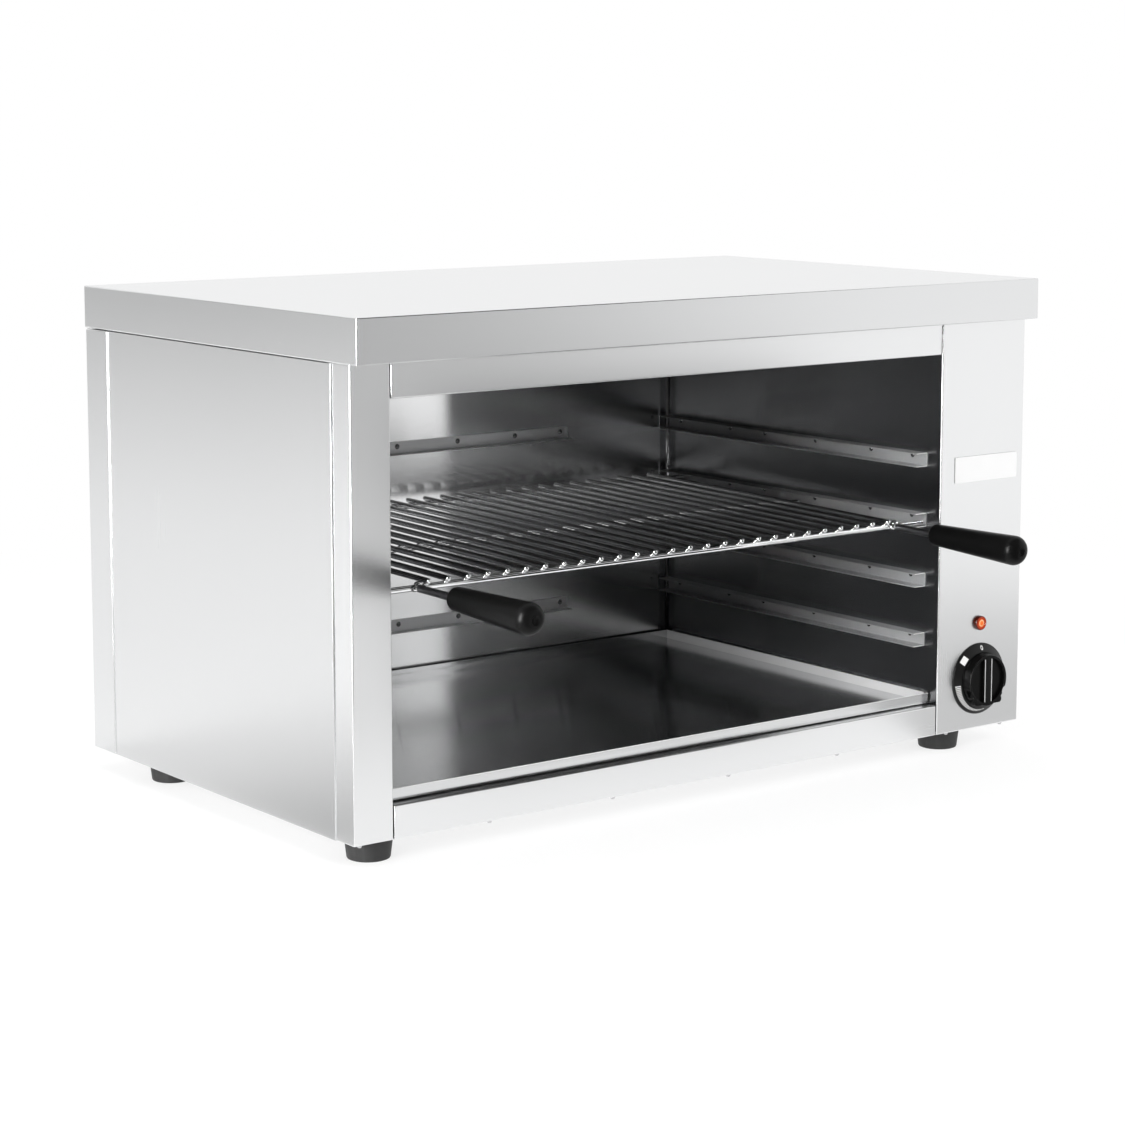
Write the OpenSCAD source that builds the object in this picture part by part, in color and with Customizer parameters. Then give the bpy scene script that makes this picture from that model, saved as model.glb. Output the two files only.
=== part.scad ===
// Electric cheese melter: a folded stainless cabinet with four rack levels, a wire grid with
// two handles, a slide-out drip tray, tubular heaters under the ceiling and one dial.
// The frame stands on its feet at z = 0, X runs to the right, Y to the back, and the middle of
// the whole length from the handle tips to the cable gland is at y = 0.

/* [Cabinet] */
// Width over the front posts
body_w = 800; // [660:1:960]
// Depth of the cabinet, without the lid's overhang
body_d = 462; // [385:1:555]
// Height of the cabinet between the feet and the lid
body_h = 410; // [365:1:495]
// Thickness of the outer sheets
sheet = 1.2; // [0.8:0.1:1.6]
// Thickness of the cavity's sheets
liner = 1; // [0.8:0.1:1.4]
// Width of the folded edges at the bottom and top of the outer sheets
fold_d = 12; // [8:1:16]
// Gap between neighbouring outer sheets
seam = 0.5; // [0.3:0.1:1]

/* [Front] */
// Width of the left post
post_w = 40; // [30:1:55]
// Width of the control column on the right
column_w = 114; // [95:1:140]
// Height of the plate over the opening
fascia_h = 31; // [24:1:40]
// Height of the rail under the opening
rail_h = 30; // [22:1:38]
// Gap at each end of the plate and of the rail
front_gap = 1.2; // [0.4:0.1:2]
// Depth of the folds beside the opening
jamb_d = 18; // [12:1:19]
// Depth of the front sheets' folds round the sides
side_fold_d = 34; // [30:1:44]
// Where the side panels start behind the front
panel_start = 28; // [22:1:29]

/* [Rear] */
// How far the rear cover reaches round the sides
cover_reach = 42; // [30:1:60]
// Overlap of the rear cover on the side panels
cover_lap = 15; // [8:1:20]
// Depth of the rear cover's bottom fold
cover_fold_d = 25; // [22:1:30]
// Space between the cavity's back wall and the rear cover's outside
back_gap = 36; // [28:1:48]
// Length of a vent slot
vent_l = 50; // [30:1:60]
// Width of a vent slot
vent_w = 5; // [4:0.5:8]
// Distance between vent slots
vent_pitch = 14; // [11:1:18]
// Number of vent slots
vent_count = 8; // [4:1:12]

/* [Lid] */
// Height of the lid
lid_h = 40; // [32:1:50]
// Overhang of the lid at the front
lid_front = 15; // [8:1:25]
// Overhang of the lid at the rear
lid_rear = 2; // [1:0.5:8]
// Shadow gap under the lid at the side panels
lid_gap = 1; // [0.5:0.5:3]

/* [Feet] */
// Height of a foot
foot_h = 20; // [15:1:28]
// Diameter of a foot at its top
foot_top_d = 43; // [34:1:50]
// Diameter of a foot at the floor
foot_base_d = 38; // [30:1:44]
// Distance of the left feet's edge from the left side
foot_left = 11.5; // [5:0.5:40]
// Distance of the right feet's edge from the right side
foot_right = 62.5; // [5:0.5:80]
// Distance of the front feet's edge from the front
foot_front = 7; // [7:0.5:30]
// Distance of the rear feet's edge from the back
foot_rear = 68; // [30:1:90]
// Diameter of the foot screws
foot_screw_d = 6; // [5:0.5:8]

/* [Rack levels] */
// Number of rack levels, from the top down
level_count = 4; // [3:1:4]
// Height between two levels
level_pitch = 60; // [45:1:62]
// Top of the highest channel above the cabinet's bottom
level_top = 281; // [250:1:290]
// Height of a channel
channel_h = 14; // [12:1:18]
// Width of a channel's ledges
channel_w = 15; // [12:1:20]
// Thickness of the channels and back brackets
channel_t = 1; // [0.8:0.1:1.5]
// Where the channels start behind the front
channel_front = 20; // [18:1:40]
// Space between the channels and the back wall
channel_back = 5; // [3:1:20]
// Distance of the outer rivets from a channel's ends
rivet_edge = 20; // [10:1:40]
// Diameter of a rivet's shank
rivet_d = 3.2; // [2.4:0.1:4]
// Distance of the rivets from a channel's top edge
rivet_drop = 4; // [4:0.5:6]

/* [Back brackets] */
// Length of a back bracket
bracket_l = 371; // [200:1:440]
// Height of a back bracket
bracket_h = 13; // [10:1:18]
// Depth of a back bracket's ledge
bracket_d = 10; // [6:1:20]
// Top of the upper bracket above the cabinet's bottom
bracket_high = 278; // [250:1:290]
// Top of the lower bracket above the cabinet's bottom
bracket_low = 93; // [70:1:100]

/* [Wire grid] */
// Rack level that holds the grid, counted from the top
grid_level = 2; // [2:1:3]
// Diameter of the grid's rods
rod_d = 5; // [4:0.5:6]
// Distance between two rods
rod_pitch = 20.9; // [17:0.1:25.1]
// Diameter of the three cross bars
bar_d = 5.5; // [4.5:0.5:7]
// Where the front bar lies behind the cabinet's front
bar_front = 23; // [22:1:30]
// Space between the rods' rear ends and the cavity's back wall
grid_back = 31; // [15:1:110]
// Place of the middle bar, from the front bar (0) to the rear bar (1)
bar_middle = 0.45; // [0.3:0.05:0.7]
// How far the rods reach past the front bar
rod_front_end = 5; // [3:1:10]
// How far the rods reach past the rear bar
rod_rear_end = 8; // [5:1:15]
// Distance of the handle stems from the outermost rods
stem_offset = 10; // [6.5:0.5:16]

/* [Handles] */
// Diameter of a handle stem
stem_d = 7; // [5:0.5:8]
// Rise of the handles against the leaning grid, in degrees
handle_rise = 0; // [0:0.1:5]
// Where a grip starts in front of the front bar
grip_start = 57; // [42:1:70]
// Length of a grip
grip_l = 115; // [96:1:150]
// Diameter of a grip at the cabinet's side
grip_near_d = 21; // [18:1:25]
// Diameter of a grip at its free end
grip_far_d = 28; // [24:1:34]
// Radius of the free end's edge
grip_round = 10; // [6:1:11]
// Depth of the stem's bore in a grip
grip_bore_l = 60; // [40:1:80]

/* [Drip tray] */
// Height of the tray's walls
tray_h = 10; // [8:1:20]
// Thickness of the tray's sheet
tray_t = 0.8; // [0.6:0.1:1.2]
// Where the tray's front stands behind the cabinet's front
tray_front = 11; // [9:1:18]
// Space between the tray and the back wall
tray_back = 6; // [4:1:12]
// Notch between the front wall and the side walls
tray_notch = 4; // [2:1:8]

/* [Heaters] */
// Number of heaters
heater_count = 3; // [2:1:3]
// Diameter of a heater's tube
heater_d = 8.5; // [6.5:0.5:10]
// Distance between a heater's two legs
heater_leg = 62; // [50:1:74]
// Distance of the outer heaters' legs from the front and from the back wall
heater_inset = 62; // [40:1:66]
// Height of the reflector's underside below the lid
ceiling_drop = 12; // [8:1:20]
// Height of the heaters below the reflector
heater_drop = 14; // [12:1:18]
// Space between a heater's bend and the left wall
heater_left = 25; // [15:1:60]
// Diameter of a heater's threaded end piece
ferrule_d = 12; // [11:0.5:14]
// Length of a heater's threaded end piece
ferrule_l = 20; // [16:1:26]
// Thickness of the insulation mat
mat_t = 25; // [15:1:30]

/* [Dial] */
// Height of the dial's middle above the cabinet's bottom
dial_z = 50.5; // [45:0.5:70]
// Diameter of the dial's bezel ring
bezel_d = 72; // [60:1:80]
// Height of the bezel ring in front of the column
bezel_h = 5; // [3:0.5:8]
// Diameter of the knob at the bezel ring
knob_d = 54; // [44:1:58]
// Diameter of the knob's face
knob_face_d = 51; // [40:1:54]
// Height of the knob
knob_h = 9; // [8:0.5:14]
// Width of the knob's grip bar
knob_bar_w = 10; // [7:0.5:13]
// Depth of the hollows beside the grip bar
knob_hollow = 3.5; // [2:0.5:4.5]
// Diameter of the regulator's shaft
shaft_d = 6; // [5:0.5:8]

/* [Lamp and label] */
// Height of the pilot lamp above the cabinet's bottom
lamp_z = 107; // [95:1:130]
// Diameter of the lamp's lens
lens_d = 14.5; // [12:0.5:18]
// Height of the lens
lens_h = 4; // [2.5:0.5:6]
// Diameter of the lamp's body
lamp_body_d = 11.6; // [9:0.2:13]
// Width of the bare label plate
label_w = 86; // [60:1:90]
// Distance from the label plate to the column's right edge
label_edge = 9; // [2:1:20]
// Height of the bare label plate
label_h = 25.5; // [16:0.5:31]
// Height of the label plate's middle above the cabinet's bottom
label_z = 263.5; // [200:0.5:317]
// Thickness of the label plate
label_t = 0.8; // [0.5:0.1:1.5]

/* [Mains entry] */
// Height of the cable gland above the cabinet's bottom
gland_z = 45; // [30:1:80]
// Diameter of the gland's thread
gland_d = 16; // [12:1:20]
// Diameter of the cable bore
cable_d = 9; // [6:0.5:11]
// Length of the gland outside the rear cover
gland_l = 14; // [10:1:20]

/* [Fits] */
// Clearance round a shank, shaft or tube in its hole
hole_fit = 0.2; // [0.1:0.1:0.5]
// Clearance of the sliding pieces beside the opening
slide_fit = 2; // [1:0.5:4]
// Clearance under the drip tray and under the grid's bars
rest_fit = 0.3; // [0.2:0.1:1]
// Clearance of the dial's shaft in the regulator
shaft_fit = 0.1; // [0.05:0.05:0.2]

/* [Hidden] */
$fn = 48;
e = 0.01;
weld = 0.05;

steel = "#d8d9da";
dark_steel = "#6a6c6e";
black = "#1c1c1d";

// The cabinet's main planes
bottom = foot_h;
top = foot_h + body_h;
left = -body_w / 2;
right = body_w / 2;
opening_l = left + post_w;
opening_r = right - column_w;
cavity_l = opening_l - sheet;
cavity_r = opening_r + sheet;
cavity_mid = (cavity_l + cavity_r) / 2;
column_mid = (opening_r + right) / 2;
cavity_back = body_d - back_gap;
floor_z = bottom + rail_h + liner;
ceiling_z = top - ceiling_drop;
panel_out = sheet;
cover_out = 2 * sheet;
wall_front = sheet + seam;
liner_front = jamb_d + seam;
wall_flange = 8;
wall_bend = 3;

// Rack channels and the grid that lies in them: its front bar on the lower ledges, and its rear
// bar tipped up under the upper ledges by the handles' weight, so the grid leans to the front
channel_l = cavity_back - channel_back - channel_front;
function level_z(i) = bottom + level_top - (i - 1) * level_pitch;
bar_z = level_z(grid_level) - channel_h + channel_t + bar_d / 2 + rest_fit;
rear_bar_z = level_z(grid_level) - channel_t - bar_d / 2 - rest_fit;
bar_span = cavity_back - grid_back - rod_rear_end - bar_front;
grid_lean = asin((rear_bar_z - bar_z) / bar_span);
bar_half = (opening_r - opening_l) / 2 - slide_fit;
rod_side = stem_offset + stem_d;
rod_gaps = 2 * floor((bar_half - channel_w - rod_side) / rod_pitch);
rod_half = rod_gaps * rod_pitch / 2;
rod_lift = (bar_d + rod_d) / 2 - weld;
stem_x = rod_half + stem_offset;
grip_tip = grip_start + grip_l;
grip_near_round = 4;
grip_dimple_d = 9;
grip_dimple_out = 2;
stem_play = 2;

// The whole length, for a frame whose middle is at y = 0
handle_lean = grid_lean - handle_rise;
tip_flat = grip_far_d / 2 - grip_round;
tip_fall = tip_flat * sin(abs(handle_lean));
tip_y = bar_front - (grip_tip - grip_round) * cos(handle_lean) - tip_fall - grip_round;
rear_y = body_d + gland_l;
front_y = -(tip_y + rear_y) / 2;

// Heaters and their place in the cavity
heater_z = ceiling_z - heater_drop;
heater_front = heater_inset + heater_leg / 2;
heater_pitch = (cavity_back - 2 * heater_front) / (heater_count - 1);
collar_l = 3;
collar_wider = 5;
pin_l = 12;
pin_d = 4;
heater_nut_h = 5;
hanger_in = 150;
hanger_past = 15;
hanger_below = 4;

// Electrics behind the column
regulator_w = 46;
regulator_d = 34;
regulator_back = sheet + regulator_d;
regulator_screw_d = 4;
regulator_screw_gap = 28;
shaft_back = sheet + 18;
shaft_flat_l = 8;
shaft_flat = 1.5;
shaft_play = 2;
regulator_screw_l = 6;
regulator_head_d = regulator_screw_d + 3;
regulator_head_h = 2;
regulator_tab = [6, 8, 0.8];
regulator_tabs_at = [-12, 0, 12];
lamp_hole_d = lamp_body_d + 2 * hole_fit;
lamp_body_l = 24;
lamp_tab = [0.8, 4.8];
lamp_tabs_at = [-3, 3];
shaft_hole_d = shaft_d + 4;
terminal_w = 50;
terminal_d = 22;
terminal_h = 20;
terminal_y = body_d - 62;
terminal_count = 4;
terminal_screw_d = 6;
terminal_screw_l = 8;
terminal_wire_d = 4;
terminal_wire_l = 5;
earth_x = column_mid + terminal_w / 2 + 12;
earth_d = 5;
earth_l = 16;
earth_nut_d = 9;
earth_nut_h = 4;
loom_d = 7;
loom_x = cavity_r + ferrule_l + pin_l + loom_d / 2;
loom_y = 230;
loom_low = bottom + dial_z + 6;
loom_rear = terminal_y - 6;

// The bezel ring and the knob
bezel_rim = 1.2;
bezel_skin = 1.6;
bezel_margin = 6;
knob_gap = 0.4;
knob_wall = 2.5;
knob_base = 3;
knob_bite_r = 6;
knob_bite_at = [0.48 * knob_d, -0.26 * knob_d];
knob_toe_r = 3.5;
knob_toe_at = [0.29 * knob_d, -0.38 * knob_d];

// The gland inside the cover
gland_thread_l = 9;
gland_nut_h = 5;
gland_nut_d = gland_d + 8;

// Rivets, and their places from the middle (0) to the outer rivets (1) of a channel or bracket
rivet_hole_d = rivet_d + 2 * hole_fit;
rivet_head_d = rivet_d + 2;
rivet_head_h = 1;
rivet_tail_d = rivet_d + 1.5;
channel_rivets_at = [-1, -0.67, -0.21, 0.23, 0.54, 1];
bracket_rivets_at = [-1, -0.61, -0.19, 0.24, 0.66, 1];
bracket_rivet_edge = 10;

// Feet
foot_r = foot_top_d / 2;
foot_hole_d = foot_screw_d + 2 * hole_fit;
foot_recess_d = 15;
foot_recess_h = 9;
foot_head_d = foot_screw_d + 6;
foot_head_h = 4;
foot_nut_d = foot_screw_d + 5;
foot_nut_h = 5;
foot_screw_past = 2;

// Base screws: one at each rear corner and under the left post, two under the column, and a
// row under the rail
base_screw_d = 3;
base_screw_head_d = 5;
base_screw_head_h = 2.4;
base_screw_y = 4;
base_screw_rear = 20;
base_screw_edge = 8;
rail_screw_first = 103.5;
rail_screw_pitch = 137.5;
column_screw_in = 17;
column_screw_out = 21;
rail_screws = floor((opening_r - opening_l - rail_screw_first - base_screw_edge) / rail_screw_pitch);

// ---------------------------------------------------------------- helpers

// Moves a shape whose y is counted from the cabinet's front into the part's own frame
module from_front() {
    translate([0, front_y, 0]) children();
}

// A box between two x, two y and two z
module slab(x, y, z) {
    translate([x[0], y[0], z[0]]) cube([x[1] - x[0], y[1] - y[0], z[1] - z[0]]);
}

// The mirror image on the other side of the cavity's middle
module other_side() {
    translate([2 * cavity_mid, 0, 0]) mirror([1, 0, 0]) children();
}

// A round bar or hole along X or Y, centred on its middle
module round_x(d, l) {
    rotate([0, 90, 0]) cylinder(d = d, h = l, center = true);
}

module round_y(d, l) {
    rotate([90, 0, 0]) cylinder(d = d, h = l, center = true);
}

// Each base screw's place, under the folds of the outer sheets
module at_base_screws() {
    z = bottom;
    for (x = [left + base_screw_edge, right - base_screw_edge])
        translate([x, body_d - base_screw_rear, z]) children();
    translate([left + base_screw_edge, base_screw_y, z]) children();
    for (x = [opening_r + column_screw_in, right - column_screw_out])
        translate([x, base_screw_y, z]) children();
    for (i = [0 : rail_screws])
        translate([opening_l + rail_screw_first + i * rail_screw_pitch, base_screw_y, z]) children();
}

module base_screw_holes() {
    at_base_screws() cylinder(d = base_screw_d + 2 * hole_fit, h = 6 * sheet, center = true);
}

// Each foot's place
module at_feet() {
    for (x = [left + foot_left + foot_r, right - foot_right - foot_r])
        for (y = [foot_front + foot_r, body_d - foot_rear - foot_r])
            translate([x, y, bottom]) children();
}

// A folded front sheet: face, bottom fold and top fold
module front_sheet(x, z) {
    slab(x, [0, sheet], z);
    slab(x, [0, sheet + fold_d], [z[0] + sheet, z[0] + 2 * sheet]);
    slab(x, [0, sheet + fold_d], [z[1] - sheet, z[1]]);
}

// ---------------------------------------------------------------- outer sheets

module top_lid() {
    x = [left - cover_out, right + cover_out];
    y = [-lid_front, body_d + lid_rear];
    rim = sheet + fold_d;
    color(steel) from_front() difference() {
        slab(x, y, [top, top + lid_h]);
        slab([x[0] + sheet, x[1] - sheet], [y[0] + sheet, y[1] - sheet],
            [top + sheet, top + lid_h - sheet]);
        slab([x[0] + rim, x[1] - rim], [y[0] + rim + lid_front, y[1] - rim],
            [top - e, top + 2 * sheet]);
    }
}

module left_post() {
    color(steel) from_front() difference() {
        union() {
            front_sheet([left, opening_l], [bottom, top]);
            slab([left, left + sheet], [0, side_fold_d], [bottom, top]);
            slab([cavity_l, opening_l], [0, jamb_d], [bottom + sheet, top]);
        }
        base_screw_holes();
    }
}

module control_column() {
    color(steel) from_front() difference() {
        union() {
            front_sheet([opening_r, right], [bottom, top]);
            slab([right - sheet, right], [0, side_fold_d], [bottom, top]);
            slab([opening_r, cavity_r], [0, jamb_d], [bottom + sheet, top]);
        }
        base_screw_holes();
        translate([column_mid, 0, bottom + dial_z]) round_y(shaft_hole_d, 4 * sheet);
        translate([column_mid, 0, bottom + lamp_z]) round_y(lamp_hole_d, 4 * sheet);
        at_regulator_screws() round_y(regulator_screw_d + 2 * hole_fit, 4 * sheet);
    }
}

module top_fascia() {
    x = [opening_l + front_gap, opening_r - front_gap];
    z = [top - fascia_h, top];
    color(steel) from_front() {
        slab(x, [0, sheet], z);
        slab(x, [0, jamb_d - 2], [z[0], z[0] + sheet]);
        slab(x, [0, sheet + fold_d], [z[1] - sheet, z[1]]);
        slab([x[0], x[0] + sheet], [0, sheet + fold_d], z);
        slab([x[1] - sheet, x[1]], [0, sheet + fold_d], z);
    }
}

module bottom_rail() {
    x = [opening_l + front_gap, opening_r - front_gap];
    z = [bottom, bottom + rail_h];
    color(steel) from_front() difference() {
        union() {
            front_sheet(x, z);
            slab(x, [0, jamb_d + fold_d], [z[1] - sheet, z[1]]);
        }
        base_screw_holes();
    }
}

module base_plate() {
    gap = sheet + seam;
    color(steel) from_front() difference() {
        slab([left + gap, right - gap], [gap, body_d - gap], [bottom, bottom + sheet]);
        base_screw_holes();
        at_feet() cylinder(d = foot_hole_d, h = 6 * sheet, center = true);
    }
}

// The left panel's sheet and its bottom fold; the right one is its mirror image
module side_panel() {
    y = [panel_start, body_d - cover_reach + cover_lap];
    fold_y = [side_fold_d + seam, body_d - cover_fold_d - 2 * sheet];
    slab([left - panel_out, left], y, [bottom, top - lid_gap]);
    slab([left - panel_out, left + fold_d], fold_y, [bottom + sheet, bottom + 2 * sheet]);
    slab([left - panel_out, left + fold_d], fold_y, [top - lid_gap - sheet, top - lid_gap]);
}

module left_side_panel() {
    color(steel) from_front() side_panel();
}

module right_side_panel() {
    color(steel) from_front() mirror([1, 0, 0]) side_panel();
}

module rear_cover() {
    x = [left - cover_out, right + cover_out];
    inner_x = [left, right];
    y = [body_d - cover_reach, body_d];
    z = [bottom, top - lid_gap];
    vent_z = bottom + body_h / 2;
    color(steel) from_front() difference() {
        union() {
            slab(x, [body_d - sheet, body_d], z);
            slab([x[0], x[0] + sheet], y, z);
            slab([x[1] - sheet, x[1]], y, z);
            slab(inner_x, [body_d - cover_fold_d, body_d], [z[0] + sheet, z[0] + 2 * sheet]);
            slab(inner_x, [body_d - fold_d, body_d], [z[1] - sheet, z[1]]);
        }
        base_screw_holes();
        translate([column_mid, body_d, bottom + gland_z])
            round_y(gland_d + 2 * hole_fit, 6 * sheet);
        for (i = [0 : vent_count - 1])
            translate([column_mid, body_d, vent_z + i * vent_pitch])
                cube([vent_l, 4 * sheet, vent_w], center = true);
    }
}

module label_plate() {
    color("white") from_front()
        translate([right - label_edge - label_w, -label_t, bottom + label_z - label_h / 2])
            cube([label_w, label_t, label_h]);
}

// ---------------------------------------------------------------- cavity

// The right wall: a sheet with a rounded bend and a flange along the back wall
module side_wall() {
    flange_x = cavity_r - wall_bend - wall_flange;
    flange_y = cavity_back - liner;
    bend_y = flange_y - wall_bend;
    bend_x = cavity_r - wall_bend;
    difference() {
        translate([0, 0, floor_z]) linear_extrude(ceiling_z - floor_z) {
            translate([cavity_r, wall_front]) square([liner, bend_y - wall_front]);
            translate([flange_x, flange_y]) square([bend_x - flange_x, liner]);
            translate([bend_x, bend_y]) intersection() {
                difference() {
                    circle(r = wall_bend + liner);
                    circle(r = wall_bend);
                }
                square(wall_bend + liner);
            }
        }
        at_channel_rivets() round_x(rivet_hole_d, 8 * liner);
    }
}

module cavity_left_wall() {
    color(dark_steel) from_front() other_side() side_wall();
}

module cavity_right_wall() {
    color(dark_steel) from_front() difference() {
        side_wall();
        at_heater_legs() round_x(ferrule_d + 2 * hole_fit, 8 * liner);
    }
}

module cavity_back_wall() {
    color(dark_steel) from_front() difference() {
        slab([cavity_l - liner, cavity_r + liner], [cavity_back, cavity_back + liner],
            [floor_z, ceiling_z]);
        at_bracket_rivets() round_y(rivet_hole_d, 8 * liner);
    }
}

module cavity_floor() {
    color(dark_steel) from_front()
        slab([cavity_l - liner, cavity_r + liner], [liner_front, cavity_back + liner],
            [floor_z - liner, floor_z]);
}

module heat_reflector() {
    color(dark_steel) from_front()
        slab([cavity_l - liner, cavity_r + liner], [liner_front, cavity_back + liner],
            [ceiling_z, ceiling_z + liner]);
}

module insulation_mat() {
    y = [2 * fold_d, cavity_back - fold_d];
    color("ivory") from_front()
        slab([cavity_l + fold_d, cavity_r - fold_d], y, [ceiling_z + liner, ceiling_z + liner + mat_t]);
}

// ---------------------------------------------------------------- rack channels

// A channel on the right wall, open to the cavity; i counts from the top
module channel(i) {
    z = level_z(i);
    difference() {
        translate([cavity_r - channel_w, channel_front, z - channel_h])
            cube([channel_w, channel_l, channel_h]);
        translate([cavity_r - channel_w - channel_t, channel_front - 1, z - channel_h + channel_t])
            cube([channel_w, channel_l + 2, channel_h - 2 * channel_t]);
        at_channel_rivets() round_x(rivet_hole_d, 8 * liner);
    }
}

module left_channel(i) {
    color(steel) from_front() other_side() channel(i);
}

module right_channel(i) {
    color(steel) from_front() channel(i);
}

// Each rivet's place on the right wall's face
module at_channel_rivets() {
    reach = channel_l / 2 - rivet_edge;
    for (i = [1 : level_count])
        for (place = channel_rivets_at)
            translate([cavity_r, channel_front + channel_l / 2 + place * reach, level_z(i) - rivet_drop])
                children();
}

// Each rivet's place on the back wall's face
module at_bracket_rivets() {
    reach = bracket_l / 2 - bracket_rivet_edge;
    for (z = [bracket_high, bracket_low])
        for (place = bracket_rivets_at)
            translate([cavity_mid + place * reach, cavity_back, bottom + z - rivet_drop - channel_t])
                children();
}

// A rivet along X through a channel and its wall: head in the cavity, tail outside
module rivet() {
    translate([-channel_t, 0, 0]) {
        rotate([0, 90, 0]) cylinder(d = rivet_d, h = channel_t + liner);
        rotate([0, -90, 0]) cylinder(d1 = rivet_head_d, d2 = rivet_d, h = rivet_head_h);
    }
    translate([liner, 0, 0]) rotate([0, 90, 0]) cylinder(d = rivet_tail_d, h = rivet_head_h);
}

module channel_rivets() {
    color("gray") from_front() {
        at_channel_rivets() rivet();
        other_side() at_channel_rivets() rivet();
        at_bracket_rivets() rotate([0, 0, 90]) rivet();
    }
}

// An angle on the back wall: a web against the wall and a ledge along its bottom
module back_bracket(z) {
    x = [cavity_mid - bracket_l / 2, cavity_mid + bracket_l / 2];
    low = bottom + z - bracket_h;
    color(steel) from_front() difference() {
        union() {
            slab(x, [cavity_back - channel_t, cavity_back], [low, bottom + z]);
            slab(x, [cavity_back - bracket_d, cavity_back], [low, low + channel_t]);
        }
        at_bracket_rivets() round_y(rivet_hole_d, 8 * liner);
    }
}

// ---------------------------------------------------------------- wire grid

// The grid's own frame: its front bar on the X axis, leaning with the grid
module in_grid() {
    from_front() translate([cavity_mid, bar_front, bar_z]) rotate([grid_lean, 0, 0]) children();
}

module grid_front_bar() {
    color(steel) in_grid() round_x(bar_d, 2 * bar_half);
}

// The middle bar ends before the channels, and the rear bar reaches into them
module grid_cross_bars() {
    middle_l = 2 * (bar_half - channel_w);
    color(steel) in_grid() {
        translate([0, bar_middle * bar_span, 0]) round_x(bar_d, middle_l);
        translate([0, bar_span, 0]) round_x(bar_d, 2 * bar_half);
    }
}

module grid_rods() {
    l = bar_span + rod_front_end + rod_rear_end;
    color(steel) in_grid()
        for (i = [0 : rod_gaps])
            translate([i * rod_pitch - rod_half, -rod_front_end, rod_lift])
                rotate([-90, 0, 0]) cylinder(d = rod_d, h = l, $fn = 24);
}

// A handle's own frame: its stem along Z, from the front bar towards the user
module in_handle(side) {
    from_front() translate([cavity_mid + side * stem_x, bar_front, bar_z])
        rotate([90 + handle_lean, 0, 0]) children();
}

module handle_stem(side) {
    from = bar_d / 2 - weld;
    color(dark_steel) in_handle(side)
        translate([0, 0, from]) cylinder(d = stem_d, h = grip_start + grip_bore_l - stem_play - from);
}

// A tapered grip with round ends, bored for its stem
module handle_grip(side) {
    near_r = grip_near_d / 2;
    far_r = grip_far_d / 2;
    color(black) in_handle(side) translate([0, 0, grip_start]) difference() {
        rotate_extrude() intersection() {
            union() {
                polygon([[0, 0], [near_r - grip_near_round, 0], [near_r, grip_near_round],
                    [far_r, grip_l - grip_round], [tip_flat, grip_l], [0, grip_l]]);
                translate([near_r - grip_near_round, grip_near_round]) circle(r = grip_near_round);
                translate([tip_flat, grip_l - grip_round]) circle(r = grip_round);
            }
            square([grip_far_d, grip_l]);
        }
        translate([0, 0, -e]) cylinder(d = stem_d + 2 * hole_fit, h = grip_bore_l);
        translate([0, 0, grip_l + grip_dimple_out]) sphere(d = grip_dimple_d);
    }
}

// ---------------------------------------------------------------- drip tray

module drip_tray() {
    x = [opening_l + slide_fit, opening_r - slide_fit];
    y = [tray_front, cavity_back - tray_back];
    z = [floor_z + rest_fit, floor_z + rest_fit + tray_h];
    color(steel) from_front() difference() {
        slab(x, y, z);
        slab([x[0] + tray_t, x[1] - tray_t], [y[0] + tray_t, y[1] - tray_t],
            [z[0] + tray_t, z[1] + 1]);
        for (edge = [[x[0] - 1, x[0] + tray_t], [x[1] - tray_t, x[1] + 1]])
            slab(edge, [y[0] + tray_t, y[0] + tray_t + tray_notch], [z[0] + tray_h / 2, z[1] + 1]);
    }
}

// ---------------------------------------------------------------- heaters

// Each heater leg's place on the right wall's face
module at_heater_legs(first = 0, last = heater_count - 1) {
    for (i = [first : last])
        for (side = [-1, 1])
            translate([cavity_r, heater_front + i * heater_pitch + side * heater_leg / 2, heater_z])
                children();
}

// A tube bent to a hairpin, with a collar, a threaded end piece and a pin on each leg
module heater(i) {
    bend_x = cavity_l + heater_left + heater_leg / 2;
    mid_y = heater_front + i * heater_pitch;
    leg_l = cavity_r - collar_l - bend_x;
    color("dimgray") from_front() {
        translate([bend_x, mid_y, heater_z]) rotate([0, 0, 90])
            rotate_extrude(angle = 180) translate([heater_leg / 2, 0]) circle(d = heater_d);
        at_heater_legs(i, i) {
            translate([-collar_l - leg_l, 0, 0]) rotate([0, 90, 0]) cylinder(d = heater_d, h = leg_l + e);
            translate([-collar_l, 0, 0]) rotate([0, 90, 0])
                cylinder(d = ferrule_d + collar_wider, h = collar_l);
            rotate([0, 90, 0]) cylinder(d = ferrule_d, h = ferrule_l);
            translate([ferrule_l, 0, 0]) rotate([0, 90, 0]) cylinder(d = pin_d, h = pin_l);
        }
    }
}

module heater_nuts() {
    color("gray") from_front() at_heater_legs() translate([liner, 0, 0]) rotate([0, 90, 0])
        difference() {
            cylinder(d = 1.6 * ferrule_d, h = heater_nut_h, $fn = 6);
            translate([0, 0, -1]) cylinder(d = ferrule_d + 2 * hole_fit, h = heater_nut_h + 2);
        }
}

// Two plates under the reflector that the heaters' legs pass through
module heater_hangers() {
    y = [heater_front - heater_leg / 2 - hanger_past,
        heater_front + (heater_count - 1) * heater_pitch + heater_leg / 2 + hanger_past];
    low = heater_z - heater_d / 2 - hanger_below;
    color("gray") from_front() difference() {
        for (x = [cavity_l + hanger_in, cavity_r - hanger_in]) {
            slab([x, x + liner], y, [low, ceiling_z]);
            slab([x, x + fold_d], y, [ceiling_z - liner, ceiling_z]);
        }
        at_heater_legs() round_x(heater_d + 2 * hole_fit, 2 * body_w);
    }
}

// ---------------------------------------------------------------- dial, lamp, electrics

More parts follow.
